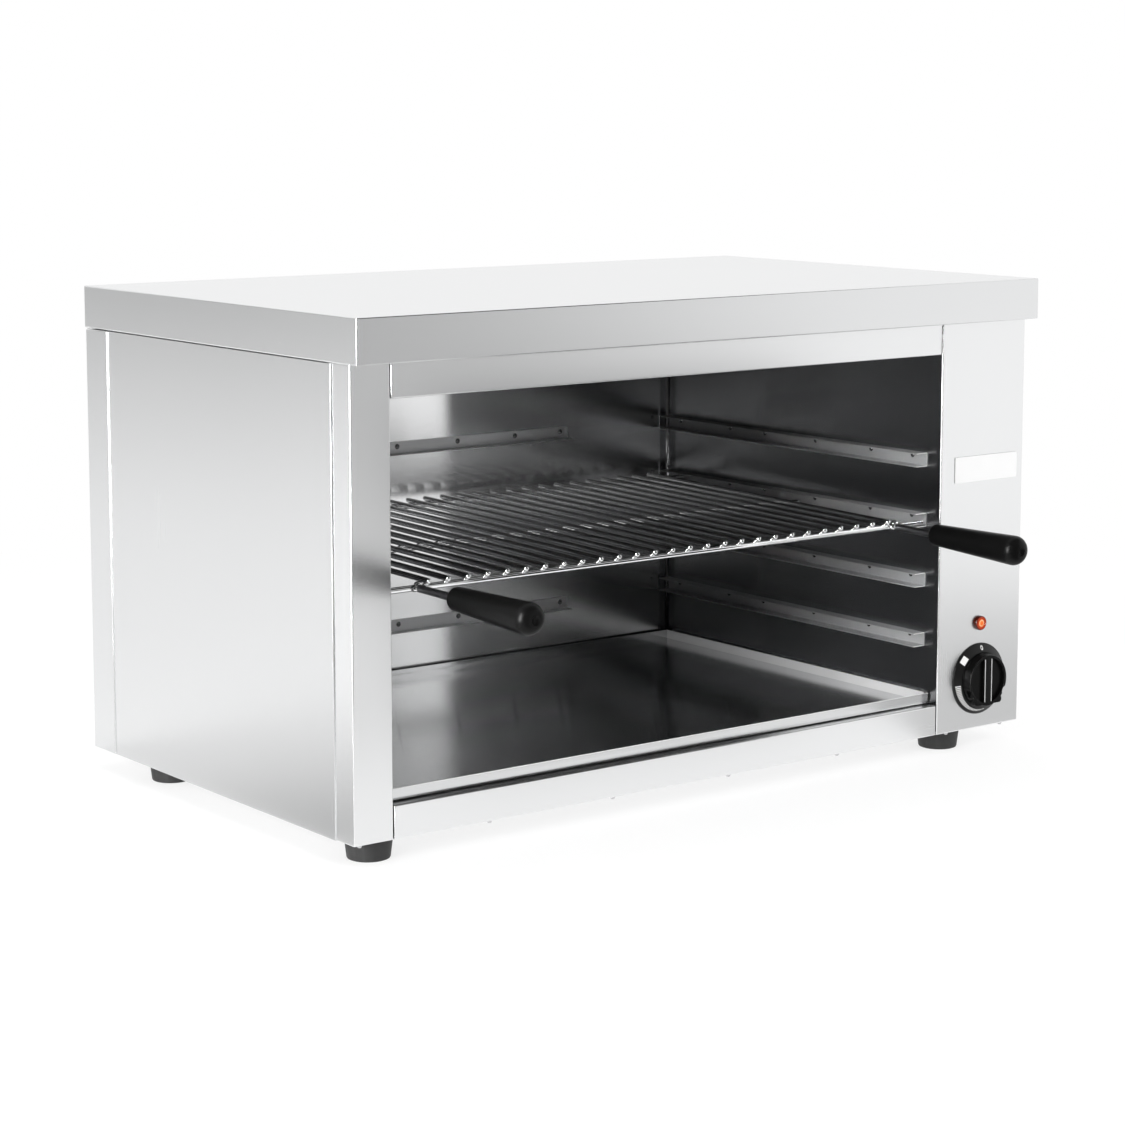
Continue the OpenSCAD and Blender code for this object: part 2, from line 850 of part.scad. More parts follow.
module at_dial() {
    translate([column_mid, 0, bottom + dial_z]) children();
}

module at_regulator_screws() {
    at_dial() for (side = [-1, 1]) translate([side * regulator_screw_gap / 2, 0, 0]) children();
}

module energy_regulator() {
    w = regulator_w;
    color("tan") from_front() difference() {
        union() {
            at_dial() translate([-w / 2, sheet, -w / 2]) cube([w, regulator_d, w]);
            at_dial() for (x = regulator_tabs_at)
                translate([x - regulator_tab.x / 2, regulator_back - e, -regulator_tab.y / 2])
                    cube(regulator_tab);
        }
        at_dial() rotate([90, 0, 0])
            translate([0, 0, -shaft_back - shaft_play])
                cylinder(d = shaft_d + 2 * shaft_fit, h = shaft_back + shaft_play);
        at_regulator_screws() translate([0, sheet, 0])
            round_y(regulator_screw_d + 2 * hole_fit, 2 * (regulator_screw_l + shaft_play));
    }
}

module regulator_shaft() {
    l = shaft_back + bezel_h + knob_h - 2 * shaft_play;
    color("gray") from_front() at_dial() translate([0, shaft_back, 0]) rotate([90, 0, 0])
        difference() {
            cylinder(d = shaft_d, h = l);
            translate([-shaft_d, shaft_d / 2 - shaft_flat, l - shaft_flat_l])
                cube([2 * shaft_d, shaft_d, shaft_flat_l + 1]);
        }
}

module regulator_screws() {
    color("gray") from_front() at_regulator_screws() rotate([90, 0, 0]) {
        translate([0, 0, -sheet - regulator_screw_l])
            cylinder(d = regulator_screw_d, h = sheet + regulator_screw_l);
        cylinder(d = regulator_head_d, h = regulator_head_h);
    }
}

// The fixed ring round the knob, hollow behind for the regulator's screws
module dial_bezel() {
    inner_d = shaft_hole_d + 4;
    pocket_d = regulator_screw_gap + regulator_screw_d + bezel_margin;
    color(black) from_front() at_dial() rotate([90, 0, 0]) difference() {
        union() {
            cylinder(d = bezel_d, h = bezel_rim);
            translate([0, 0, bezel_rim - e])
                cylinder(d1 = bezel_d, d2 = knob_d + 1, h = bezel_h - bezel_rim);
        }
        translate([0, 0, -1]) cylinder(d = inner_d, h = bezel_h + 2);
        translate([0, 0, -e]) cylinder(d = pocket_d, h = bezel_h - bezel_skin);
    }
}

// The knob's outside: a round body with a bite at each side of its lower end, and a toe between
module knob_body() {
    difference() {
        cylinder(d1 = knob_d, d2 = knob_face_d, h = knob_h);
        for (side = [-1, 1])
            translate([side * knob_bite_at[0], knob_bite_at[1], knob_base])
                cylinder(r = knob_bite_r, h = knob_h);
    }
    translate([0, 0, knob_base]) hull() {
        cylinder(r = 2 * knob_toe_r, h = knob_h - knob_base);
        for (side = [-1, 1])
            translate([side * knob_toe_at[0], knob_toe_at[1], 0])
                cylinder(r = knob_toe_r, h = knob_h - knob_base);
    }
}

// The knob, with a flat grip bar left between two hollows, and bored for the flatted shaft
module dial_knob() {
    hollow_r = knob_face_d / 2 - knob_wall;
    color(black) from_front() at_dial() translate([0, -bezel_h - knob_gap, 0]) rotate([90, 0, 0])
        difference() {
            knob_body();
            translate([0, 0, knob_h - knob_hollow]) difference() {
                cylinder(r = hollow_r, h = knob_hollow + 1);
                cube([knob_bar_w, 2 * knob_d, 4 * knob_h], center = true);
            }
            difference() {
                translate([0, 0, -1]) cylinder(d = shaft_d + 2 * hole_fit, h = knob_h - knob_wall);
                translate([-shaft_d, shaft_d / 2 - shaft_flat + hole_fit, knob_h - shaft_flat_l - shaft_play])
                    cube([2 * shaft_d, shaft_d, shaft_flat_l]);
            }
        }
}

module at_lamp() {
    translate([column_mid, 0, bottom + lamp_z]) rotate([90, 0, 0]) children();
}

module pilot_lamp_lens() {
    color("orange") from_front() at_lamp() intersection() {
        cylinder(d = lens_d, h = lens_h);
        translate([0, 0, lens_h - lens_d]) sphere(r = lens_d);
    }
}

module pilot_lamp_body() {
    color(black) from_front() at_lamp() {
        translate([0, 0, -lamp_body_l]) cylinder(d = lamp_body_d, h = lamp_body_l);
        for (x = lamp_tabs_at) translate([x - lamp_tab.x / 2, -lamp_tab.y / 2, -regulator_back])
            cube([lamp_tab.x, lamp_tab.y, regulator_back - lamp_body_l + e]);
    }
}

module terminal_block() {
    color("beige") from_front()
        translate([column_mid - terminal_w / 2, terminal_y - terminal_d / 2, bottom + sheet])
            difference() {
                cube([terminal_w, terminal_d, terminal_h]);
                for (i = [0 : terminal_count - 1])
                    translate([terminal_w * (i + 0.5) / terminal_count, 0, 0]) {
                        translate([0, terminal_d / 2, terminal_h - terminal_screw_l])
                            cylinder(d = terminal_screw_d, h = terminal_screw_l + 1);
                        translate([0, -1, terminal_h / 2]) rotate([-90, 0, 0])
                            cylinder(d = terminal_wire_d, h = terminal_wire_l + 1);
                    }
            }
}

// A straight run of the loom between two points along one axis, with round ends
module loom_run(a, b) {
    d = b - a;
    turn = d.x != 0 ? [0, 90, 0] : d.y != 0 ? [-90, 0, 0] : [0, 0, 0];
    translate(a) rotate(turn) cylinder(d = loom_d, h = norm(d));
    for (end = [a, b]) translate(end) sphere(d = loom_d);
}

// The wires as one bundle: along the heaters' pins, down, and on to the regulator, the lamp
// and the terminal block
module wiring_loom() {
    front = regulator_back + loom_d / 2;
    rear = loom_rear;
    lamp = bottom + lamp_z;
    color("firebrick") from_front() {
        loom_run([loom_x, heater_front - heater_leg / 2, heater_z],
            [loom_x, cavity_back - heater_front + heater_leg / 2, heater_z]);
        loom_run([loom_x, loom_y, loom_low], [loom_x, loom_y, heater_z]);
        loom_run([loom_x, front, loom_low], [loom_x, rear, loom_low]);
        loom_run([loom_x, front, loom_low], [loom_x, front, lamp]);
        loom_run([loom_x, front, lamp], [column_mid, front, lamp]);
        translate([loom_x, rear, bottom + sheet + terminal_h])
            cylinder(d = loom_d, h = loom_low - bottom - sheet - terminal_h);
    }
}

module earth_stud() {
    color("goldenrod") from_front() translate([earth_x, terminal_y, bottom + sheet]) {
        cylinder(d = earth_d, h = earth_l);
        cylinder(d = earth_nut_d, h = earth_nut_h, $fn = 6);
    }
}

module at_gland() {
    translate([column_mid, body_d, bottom + gland_z]) rotate([-90, 0, 0]) children();
}

module cable_gland() {
    color(black) from_front() at_gland() difference() {
        union() {
            cylinder(d = gland_nut_d, h = gland_l / 2, $fn = 6);
            cylinder(d1 = gland_d + 4, d2 = gland_d, h = gland_l);
            translate([0, 0, -sheet - gland_thread_l])
                cylinder(d = gland_d, h = sheet + gland_thread_l + e);
        }
        translate([0, 0, -sheet - gland_thread_l - 1])
            cylinder(d = cable_d, h = gland_l + sheet + gland_thread_l + 2);
    }
}

module gland_locknut() {
    color(black) from_front() at_gland() translate([0, 0, -sheet - gland_nut_h]) difference() {
        cylinder(d = gland_nut_d, h = gland_nut_h, $fn = 6);
        translate([0, 0, -1]) cylinder(d = gland_d + 2 * hole_fit, h = gland_nut_h + 2);
    }
}

// ---------------------------------------------------------------- feet and base screws

// The foot at the left (-1) or right (1) side, at the front (-1) or rear (1)
module foot(side_x, side_y) {
    x = side_x < 0 ? left + foot_left + foot_r : right - foot_right - foot_r;
    y = side_y < 0 ? foot_front + foot_r : body_d - foot_rear - foot_r;
    color(black) from_front() translate([x, y, 0]) difference() {
        cylinder(d1 = foot_base_d, d2 = foot_top_d, h = foot_h);
        translate([0, 0, -1]) cylinder(d = foot_hole_d, h = foot_h + 2);
        translate([0, 0, -1]) cylinder(d = foot_recess_d, h = foot_recess_h + 1);
    }
}

module foot_screws() {
    top_l = foot_h - foot_recess_h + sheet + foot_nut_h + foot_screw_past;
    color("gray") from_front() at_feet() translate([0, 0, foot_recess_h - foot_h]) {
        cylinder(d = foot_screw_d, h = top_l);
        translate([0, 0, -foot_head_h]) cylinder(d = foot_head_d, h = foot_head_h);
    }
}

module foot_nuts() {
    color("gray") from_front() at_feet() translate([0, 0, sheet]) difference() {
        cylinder(d = foot_nut_d, h = foot_nut_h, $fn = 6);
        translate([0, 0, -1]) cylinder(d = foot_hole_d, h = foot_nut_h + 2);
    }
}

module base_screws() {
    color("gray") from_front() at_base_screws() {
        cylinder(d = base_screw_d, h = 2 * sheet + 4);
        translate([0, 0, -base_screw_head_h])
            cylinder(d1 = base_screw_head_d - 2, d2 = base_screw_head_d, h = base_screw_head_h);
    }
}

top_lid();
left_post();
control_column();
top_fascia();
bottom_rail();
base_plate();
left_side_panel();
right_side_panel();
rear_cover();
cavity_left_wall();
cavity_right_wall();
cavity_back_wall();
cavity_floor();
heat_reflector();
insulation_mat();
left_channel(1);  // left_channel_1
left_channel(2);  // left_channel_2
left_channel(3);  // left_channel_3
left_channel(4);  // left_channel_4
right_channel(1);  // right_channel_1
right_channel(2);  // right_channel_2
right_channel(3);  // right_channel_3
right_channel(4);  // right_channel_4
back_bracket(bracket_high);  // back_bracket_upper
back_bracket(bracket_low);  // back_bracket_lower
channel_rivets();
grid_front_bar();
grid_cross_bars();
grid_rods();
handle_stem(-1);  // handle_stem_left
handle_stem(1);  // handle_stem_right
handle_grip(-1);  // handle_grip_left
handle_grip(1);  // handle_grip_right
drip_tray();
heater(0);  // heater_front_tube
heater(1);  // heater_middle_tube
heater(2);  // heater_rear_tube
heater_nuts();
heater_hangers();
energy_regulator();
regulator_shaft();
regulator_screws();
dial_bezel();
dial_knob();
pilot_lamp_lens();
pilot_lamp_body();
label_plate();
terminal_block();
wiring_loom();
earth_stud();
cable_gland();
gland_locknut();
foot(-1, -1);  // foot_front_left
foot(1, -1);  // foot_front_right
foot(-1, 1);  // foot_rear_left
foot(1, 1);  // foot_rear_right
foot_screws();
foot_nuts();
base_screws();
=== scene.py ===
"""Looks of an electric cheese melter: a folded stainless cabinet with a wire grid and one dial.

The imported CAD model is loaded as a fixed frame. Folded sheets, rivets, rods, grips, the dial and
the other parts that show get detailed meshes of their own, which stand for their CAD nodes, and
every remaining CAD node gets a procedural finish. Lengths are in metres, in the CAD's own frame.
"""

from __future__ import annotations

import logging
import math
from collections.abc import Callable
from dataclasses import dataclass, field
from enum import Enum

import bmesh
import bpy
from mathutils import Matrix, Vector

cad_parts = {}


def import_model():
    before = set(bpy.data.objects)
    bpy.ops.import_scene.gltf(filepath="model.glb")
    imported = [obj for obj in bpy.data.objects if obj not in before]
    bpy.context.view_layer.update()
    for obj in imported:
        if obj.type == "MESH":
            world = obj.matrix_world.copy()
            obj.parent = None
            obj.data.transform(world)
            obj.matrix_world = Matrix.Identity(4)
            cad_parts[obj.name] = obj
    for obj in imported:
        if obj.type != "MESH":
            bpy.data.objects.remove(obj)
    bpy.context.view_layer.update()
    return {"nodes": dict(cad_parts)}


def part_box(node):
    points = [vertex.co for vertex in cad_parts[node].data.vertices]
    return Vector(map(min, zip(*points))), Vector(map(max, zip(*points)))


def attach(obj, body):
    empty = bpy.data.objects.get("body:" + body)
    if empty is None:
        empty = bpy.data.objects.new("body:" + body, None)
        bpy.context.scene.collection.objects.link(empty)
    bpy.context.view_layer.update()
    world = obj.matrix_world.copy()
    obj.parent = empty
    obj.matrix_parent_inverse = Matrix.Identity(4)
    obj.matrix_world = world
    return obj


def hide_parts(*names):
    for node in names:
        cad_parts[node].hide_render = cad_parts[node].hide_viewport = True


LOG = logging.getLogger("cheese_melter")
MM = 0.001
ORIGIN = (0.0, 0.0, 0.0)
MERGED = 2e-6
QUARTER = math.radians(90)

Mesh, Face = bmesh.types.BMesh, bmesh.types.BMFace
Node, Socket = bpy.types.Node, bpy.types.NodeSocket
Material, Object = bpy.types.Material, bpy.types.Object
Pair, Triple = tuple[float, float], tuple[float, float, float]
Profile = list[Pair]


class Grain(Enum):
    """The direction in which a sheet or a bar was brushed or drawn."""

    ACROSS = (9.0, 900.0, 900.0)
    DEEP = (900.0, 9.0, 900.0)
    UPRIGHT = (900.0, 900.0, 9.0)
    NONE = (420.0, 420.0, 420.0)


class Kind(Enum):
    """What a finish is made of, which decides its shader's settings."""

    METAL = 1
    PLASTIC = 2
    CLOTH = 3


# ---------------------------------------------------------------- shader nodes


def grey(level: float) -> tuple[float, ...]:
    """A neutral colour with full alpha."""
    return (level, level, level, 1.0)


class Tree:
    """A short way to add and join the nodes of one node tree."""

    def __init__(self, tree: bpy.types.NodeTree) -> None:
        """Keeps the tree that the nodes go into."""
        self.tree = tree

    def add(self, kind: str, inputs: dict | None = None, **settings: object) -> Node:
        """Adds a node, sets its properties and fills its inputs.

        Args:
            kind: the node's type name, without its ShaderNode beginning.
            inputs: sockets or plain values, by the input's name or number.
            settings: properties of the node, by name.

        Returns:
            The new node.
        """
        node = self.tree.nodes.new(kind if kind.startswith("Node") else "ShaderNode" + kind)
        for name, value in settings.items():
            setattr(node, name, value)
        self.fill(node, inputs or {})
        return node

    def fill(self, node: Node, inputs: dict[str | int, object]) -> None:
        """Links sockets to a node's inputs, or writes plain values into them.

        Args:
            node: the node.
            inputs: sockets or plain values, by the input's name or number.
        """
        for name, value in inputs.items():
            if isinstance(value, Socket):
                self.tree.links.new(value, node.inputs[name])
            else:
                node.inputs[name].default_value = value

    def maths(self, operation: str, *values: object) -> Socket:
        """Adds a Math node with sockets or numbers as its inputs, and gives its output."""
        return self.add("Math", dict(enumerate(values)), operation=operation).outputs[0]

    def vector(self, operation: str, *values: object) -> Socket:
        """Adds a Vector Math node with sockets or vectors as its inputs, and gives its output."""
        return self.add("VectorMath", dict(enumerate(values)), operation=operation).outputs[0]

    def scaled(self, vector: object, factor: object) -> Socket:
        """Multiplies a vector or a colour by a value that may pass 1."""
        return self.add("VectorMath", {0: vector, "Scale": factor}, operation="SCALE").outputs[0]

    def length(self, vector: object) -> Socket:
        """Gives the length of a vector."""
        return self.add("VectorMath", {0: vector}, operation="LENGTH").outputs["Value"]

    def gained(self, value: object, gain: object, start: object) -> Socket:
        """Multiplies a value by a gain and adds it to a start."""
        return self.maths("ADD", self.maths("MULTIPLY", value, gain), start)

    def swing(self, noise: object, amount: object) -> Socket:
        """Turns a noise of 0 to 1 into a change about zero, as wide as the amount."""
        return self.maths("MULTIPLY", self.maths("SUBTRACT", noise, 0.5), amount)

    def noise(self, place: object, scale: float, detail: float) -> Socket:
        """Adds a noise of 0 to 1 at a place, with its scale and its number of finer layers."""
        node = self.add("TexNoise", {"Vector": place, "Scale": scale, "Detail": detail})
        return node.outputs["Fac"]

    def eased(self, value: object, span: Pair, levels: Pair = (0.0, 1.0)) -> Socket:
        """Maps a span of values smoothly to two levels, which hold beyond the span.

        Args:
            value: the value that is mapped.
            span: where the first level ends and where the second one starts.
            levels: the two levels.

        Returns:
            The mapped value.
        """
        labels = ("Value", "From Min", "From Max", "To Min", "To Max")
        inputs = dict(zip(labels, (value, *span, *levels)))
        return self.add("MapRange", inputs, interpolation_type="SMOOTHSTEP").outputs["Result"]

    def blend(self, factor: object, first: Node, second: Node) -> Node:
        """Mixes the shaders of two nodes."""
        return self.add("MixShader", {0: factor, 1: first.outputs[0], 2: second.outputs[0]})

    def seen(self) -> Socket:
        """Adds a value that is 1 for rays of the camera, of gloss and through glass.

        Returns:
            The value, which is 0 for every other ray.
        """
        rays = self.add("LightPath").outputs
        both = self.maths("MAXIMUM", rays["Is Camera Ray"], rays["Is Glossy Ray"])
        return self.maths("MAXIMUM", both, rays["Is Transmission Ray"])


def emptied(block: Material | bpy.types.World) -> Tree:
    """Gives a material or a world an empty node tree.

    Args:
        block: the material or the world.

    Returns:
        Its Tree.
    """
    block.use_nodes = True
    block.node_tree.nodes.clear()
    return Tree(block.node_tree)


def new_group(name: str, inputs: dict[str, object], outputs: tuple[str, ...]) -> tuple:
    """Starts a shader node group with named sockets.

    Args:
        name: the group's name.
        inputs: the default values of its inputs by name, which are vectors or numbers.
        outputs: the names of its outputs, which are numbers.

    Returns:
        The group, its Tree and the sockets of its input node.
    """
    group = bpy.data.node_groups.new(name, "ShaderNodeTree")
    for label, value in inputs.items():
        kind = "NodeSocketVector" if isinstance(value, tuple) else "NodeSocketFloat"
        socket = group.interface.new_socket(label, in_out="INPUT", socket_type=kind)
        socket.default_value = value
    for label in outputs:
        group.interface.new_socket(label, in_out="OUTPUT", socket_type="NodeSocketFloat")
    tree = Tree(group)
    return group, tree, tree.add("NodeGroupInput").outputs


@dataclass
class EffectGroups:
    """The effects that several finishes share, each built once, and the materials made so far."""

    brushed: bpy.types.NodeTree = field(init=False)
    moulded: bpy.types.NodeTree = field(init=False)
    handled: bpy.types.NodeTree = field(init=False)
    made: dict[str, Material] = field(default_factory=dict)
    band_scale: float = 0.19
    stroke_share: float = 0.6
    cloud_scale: float = 5.0
    brushed_tone: float = 2.0
    brushed_gloss: float = 1.6
    patch_scale: float = 30.0
    cell_scale: float = 0.6
    cell_relief: float = 0.6
    moulded_tone: float = 3.0
    wipe_scale: Triple = (7.0, 11.0, 4.0)
    wipe_span: Pair = (0.5, 0.75)

    def __post_init__(self) -> None:
        """Builds the groups."""
        self.brushed = self.make_brushed()
        self.moulded = self.make_moulded()
        self.handled = self.make_handled()

    def make_brushed(self) -> bpy.types.NodeTree:
        """Fine strokes of a belt-brushed or rolled sheet, with slow changes of gloss.

        Returns:
            The group, with a tone factor, a roughness and a height.
        """
        inputs = {"Vector": ORIGIN, "Stretch": Grain.ACROSS.value}
        inputs |= {"Roughness": 0.3, "Stroke": 0.06, "Cloud": 0.04}
        group, tree, given = new_group("brushed_strokes", inputs, ("Tone", "Roughness", "Height"))
        stretched = tree.vector("MULTIPLY", given["Vector"], given["Stretch"])
        strokes = tree.maths("MULTIPLY", tree.noise(stretched, 1.0, 4.0), self.stroke_share)
        bands = tree.noise(tree.scaled(stretched, self.band_scale), 1.0, 2.0)
        mixed = tree.gained(bands, 1.0 - self.stroke_share, strokes)
        clouds = tree.noise(given["Vector"], self.cloud_scale, 3.0)
        stroke = tree.swing(mixed, given["Stroke"])
        change = tree.maths("ADD", stroke, tree.swing(clouds, given["Cloud"]))
        tone = tree.gained(change, self.brushed_tone, 1.0)
        rough = tree.gained(change, self.brushed_gloss, given["Roughness"])
        tree.add("NodeGroupOutput", {"Tone": tone, "Roughness": rough, "Height": mixed})
        return group

    def make_moulded(self) -> bpy.types.NodeTree:
        """The fine eroded texture of a moulded plastic or rubber part.

        Returns:
            The group, with a tone factor, a roughness and a height.
        """
        inputs = {"Vector": ORIGIN, "Scale": 1500.0, "Roughness": 0.4, "Speckle": 0.1}
        group, tree, given = new_group("moulded_skin", inputs, ("Tone", "Roughness", "Height"))
        place = tree.scaled(given["Vector"], given["Scale"])
        fine = tree.noise(place, 1.0, 3.0)
        slow = tree.noise(given["Vector"], self.patch_scale, 2.0)
        pores = {"Vector": place, "Scale": self.cell_scale}
        cells = tree.add("TexVoronoi", pores, feature="SMOOTH_F1")
        uneven = tree.maths("MULTIPLY", tree.maths("ADD", fine, slow), 0.5)
        change = tree.swing(uneven, given["Speckle"])
        tone = tree.gained(change, self.moulded_tone, 1.0)
        rough = tree.maths("ADD", given["Roughness"], change)
        relief = tree.gained(cells.outputs["Distance"], self.cell_relief, fine)
        tree.add("NodeGroupOutput", {"Tone": tone, "Roughness": rough, "Height": relief})
        return group

    def make_handled(self) -> bpy.types.NodeTree:
        """Faint smears and dull spots where hands and cloths have been.

        Returns:
            The group, with a mask from 0 to 1.
        """
        group, tree, given = new_group("wiped_smears", {"Vector": ORIGIN, "Amount": 0.3}, ("Mask",))
        smear = tree.noise(tree.vector("MULTIPLY", given["Vector"], self.wipe_scale), 1.0, 5.0)
        mask = tree.maths("MULTIPLY", tree.eased(smear, self.wipe_span), given["Amount"])
        tree.add("NodeGroupOutput", {"Mask": mask})
        return group


# The scale of a cloth's fibres and of a moulded skin's speckles, in parts to a metre.
WEAVE, SPECKLE = 450.0, 1500.0
SHEEN = 0.3
SMEAR_ROUGHNESS = 0.12
DRAWN_TURN = 0.25


@dataclass(frozen=True)
class Finish:
    """One finish: its colour, gloss and grain, and what it is made of.

    Stroke is the strength of its brushed lines or speckles, cloud that of its slow changes, bump
    its relief in millimetres and smears the strength of wiped marks. Drawn is how far its gloss is
    stretched, and axis the one that the stretch is counted from.
    """

    name: str
    colour: Triple
    roughness: float
    kind: Kind = Kind.METAL
    grain: Grain = Grain.NONE
    stroke: float = 0.05
    cloud: float = 0.03
    bump: float = 0.02
    smears: float = 0.0
    specular: float = 0.5
    drawn: float = 0.0
    axis: str = "Z"

    def material(self, groups: EffectGroups) -> Material:
        """Builds the finish's material.

        Args:
            groups: the shared effects.

        Returns:
            The material, made once for each name.
        """
        if self.name in groups.made:
            return groups.made[self.name]
        made = bpy.data.materials.new(self.name + "_look")
        groups.made[self.name] = made
        made.use_nodes = True
        made.diffuse_color = (*self.colour, 1.0)
        tree = Tree(made.node_tree)
        place = tree.add("TexCoord").outputs["Object"]
        effect = self.effect(tree, groups, place).outputs
        relief = {"Strength": 1.0, "Distance": self.bump * MM, "Height": effect["Height"]}
        looks = {
            "Base Color": tree.scaled(self.colour, effect["Tone"]),
            "Roughness": effect["Roughness"],
            "Normal": tree.add("Bump", relief).outputs["Normal"],
            "Metallic": float(self.kind is Kind.METAL),
            "Specular IOR Level": self.specular,
            "Sheen Weight": SHEEN if self.kind is Kind.CLOTH else 0.0,
        }
        if self.smears:
            marks = {"Vector": place, "Amount": self.smears}
            mask = tree.add("Group", marks, node_tree=groups.handled).outputs["Mask"]
            looks["Roughness"] = tree.gained(mask, SMEAR_ROUGHNESS, effect["Roughness"])
        if self.drawn:
            tangent = tree.add("Tangent", direction_type="RADIAL", axis=self.axis).outputs[0]
            looks |= {"Tangent": tangent, "Anisotropic": self.drawn}
            looks["Anisotropic Rotation"] = DRAWN_TURN
        tree.fill(made.node_tree.nodes["Principled BSDF"], looks)
        return made

    def effect(self, tree: Tree, groups: EffectGroups, place: object) -> Node:
        """Places the shared effect that suits the finish.

        Args:
            tree: the material's tree.
            groups: the shared effects.
            place: the coordinates.

        Returns:
            The group's node.
        """
        inputs = {"Vector": place, "Roughness": self.roughness}
        if self.kind is Kind.METAL:
            inputs |= {"Stretch": self.grain.value, "Stroke": self.stroke, "Cloud": self.cloud}
            return tree.add("Group", inputs, node_tree=groups.brushed)
        inputs |= {"Scale": WEAVE if self.kind is Kind.CLOTH else SPECKLE, "Speckle": self.stroke}
        return tree.add("Group", inputs, node_tree=groups.moulded)


STEEL = (0.80, 0.805, 0.81)
# Painted light: the front sheets get a paler steel than the lid, the sides and the back.
FRONT_STEEL_PAINTED_LIGHT = (0.87, 0.875, 0.88)
ACROSS, DEEP, UPRIGHT = Grain.ACROSS, Grain.DEEP, Grain.UPRIGHT
PLASTIC, CLOTH = Kind.PLASTIC, Kind.CLOTH
SATIN = {"stroke": 0.008, "cloud": 0.008, "bump": 0.0004}
MIRROR = {"grain": ACROSS, "stroke": 0.03, "cloud": 0.02}
PALE = {"kind": PLASTIC, "stroke": 0.03, "bump": 0.003}
PRINT = {"kind": PLASTIC, "stroke": 0.04, "bump": 0.01}

OUTER_ACROSS = Finish("satin_steel_across", STEEL, 0.27, grain=ACROSS, **SATIN)
OUTER_UPRIGHT = Finish("satin_steel_upright", STEEL, 0.27, grain=UPRIGHT, **SATIN)
FRONT_ACROSS_PAINTED_LIGHT = Finish("front_steel_painted_light_across", FRONT_STEEL_PAINTED_LIGHT, 0.27, grain=ACROSS, **SATIN)
FRONT_UPRIGHT_PAINTED_LIGHT = Finish("front_steel_painted_light_upright", FRONT_STEEL_PAINTED_LIGHT, 0.27, grain=UPRIGHT, **SATIN)
# Painted shade: the cavity's side walls and the posts' folds beside the opening get a darker steel
# than the same steel outside.
CAVITY_PAINTED_SHADE = Finish("cavity_steel_painted_shade", (0.4, 0.402, 0.41), 0.18, grain=ACROSS, stroke=0.06,
                bump=0.001, drawn=0.95)
CAVITY_BACK = Finish("cavity_steel_back", (0.84, 0.845, 0.85), 0.14, bump=0.0005, drawn=0.95,
                     **MIRROR)
# Painted shade: the cavity's floor and heat reflector get a near-black steel.
CAVITY_FLAT_PAINTED_SHADE = Finish("cavity_flat_painted_shade", (0.2, 0.2, 0.2), 0.4, grain=ACROSS, stroke=0.06,
                     bump=0.003)
# A painted highlight: the cavity walls' bend gets a far paler, glossier colour than the walls.
BEND_PAINTED_HIGHLIGHT = Finish("bend_painted_highlight", (0.9, 0.9, 0.9), 0.1, grain=UPRIGHT, bump=0.001)
RACK = Finish("rack_steel_deep", (0.55, 0.555, 0.56), 0.6, grain=DEEP, stroke=0.06, bump=0.006)
RACK_ACROSS = Finish("rack_steel_across", (0.76, 0.765, 0.77), 0.4, grain=ACROSS, stroke=0.06,
                     bump=0.006)
# The channels' cut ends: a matte finish, painted near white as a painted highlight.
SHEARED_PAINTED_HIGHLIGHT = Finish("sheared_ends_painted_highlight", (0.92, 0.92, 0.92), 0.4, **PALE)
RIVET = Finish("rivet_steel", (0.62, 0.62, 0.63), 0.32)
# Painted shade: the rivets in the cavity are a darker copy of the rivet steel.
CAVITY_RIVET_PAINTED_SHADE = Finish("cavity_rivets_painted_shade", (0.26, 0.26, 0.26), 0.25)
HANGER = Finish("hanger_steel", (0.56, 0.56, 0.56), 0.4, grain=DEEP)
WIRE = Finish("bright_wire", (0.94, 0.945, 0.95), 0.1, stroke=0.03, cloud=0.02, bump=0.004)
WELD = Finish("weld_beads", (0.9, 0.9, 0.9), 0.16, stroke=0.1, cloud=0.08, bump=0.08)
STEM = Finish("stem_steel", (0.3, 0.3, 0.31), 0.3, grain=DEEP)
GRIP = Finish("grip_black", (0.005, 0.005, 0.005), 0.32, PLASTIC, stroke=0.1, smears=0.2,
              specular=0.12)
TRAY = Finish("tray_steel", (0.7, 0.705, 0.71), 0.13, bump=0.0003, drawn=0.9, axis="Y", **MIRROR)
# The tray's walls and rims: a duller gloss than its floor, and a near-white colour that is painted
# light.
TRAY_WALL_PAINTED_LIGHT = Finish("tray_wall_dull_painted_light", (0.93, 0.93, 0.93), 0.4, **PALE)
HEATER = Finish("oxidised_tube", (0.2, 0.19, 0.18), 0.5, stroke=0.2, cloud=0.25, bump=0.05)
MAT = Finish("wool_mat", (0.86, 0.84, 0.78), 0.95, CLOTH, stroke=0.25, bump=0.9)
REGULATOR = Finish("brown_thermoset", (0.42, 0.28, 0.16), 0.45, PLASTIC, stroke=0.2, bump=0.05)
DIAL = Finish("dial_black", (0.008, 0.008, 0.008), 0.36, PLASTIC, stroke=0.08, specular=0.25)
MARKS = Finish("dial_print", (0.86, 0.86, 0.85), 0.5, **PRINT)
# Pale strips on the knob's grip bar, which are painted highlights of its edges.
KNOB_PAINTED_HIGHLIGHT = Finish("knob_painted_highlight", (0.6, 0.6, 0.6), 0.5, **PRINT)
KNOB = Finish("knob_black", (0.004, 0.004, 0.004), 0.25, PLASTIC, stroke=0.06, bump=0.01,
              specular=0.1)
KNOB_EDGE = Finish("knob_rubbed_edges", (0.01, 0.01, 0.01), 0.2, PLASTIC, stroke=0.04,
                   bump=0.005, specular=1.0)
LAMP_BODY = Finish("lamp_nylon", (0.04, 0.04, 0.04), 0.45, PLASTIC, bump=0.03)
LABEL = Finish("bare_label", (0.86, 0.86, 0.86), 0.4, PLASTIC, stroke=0.03)
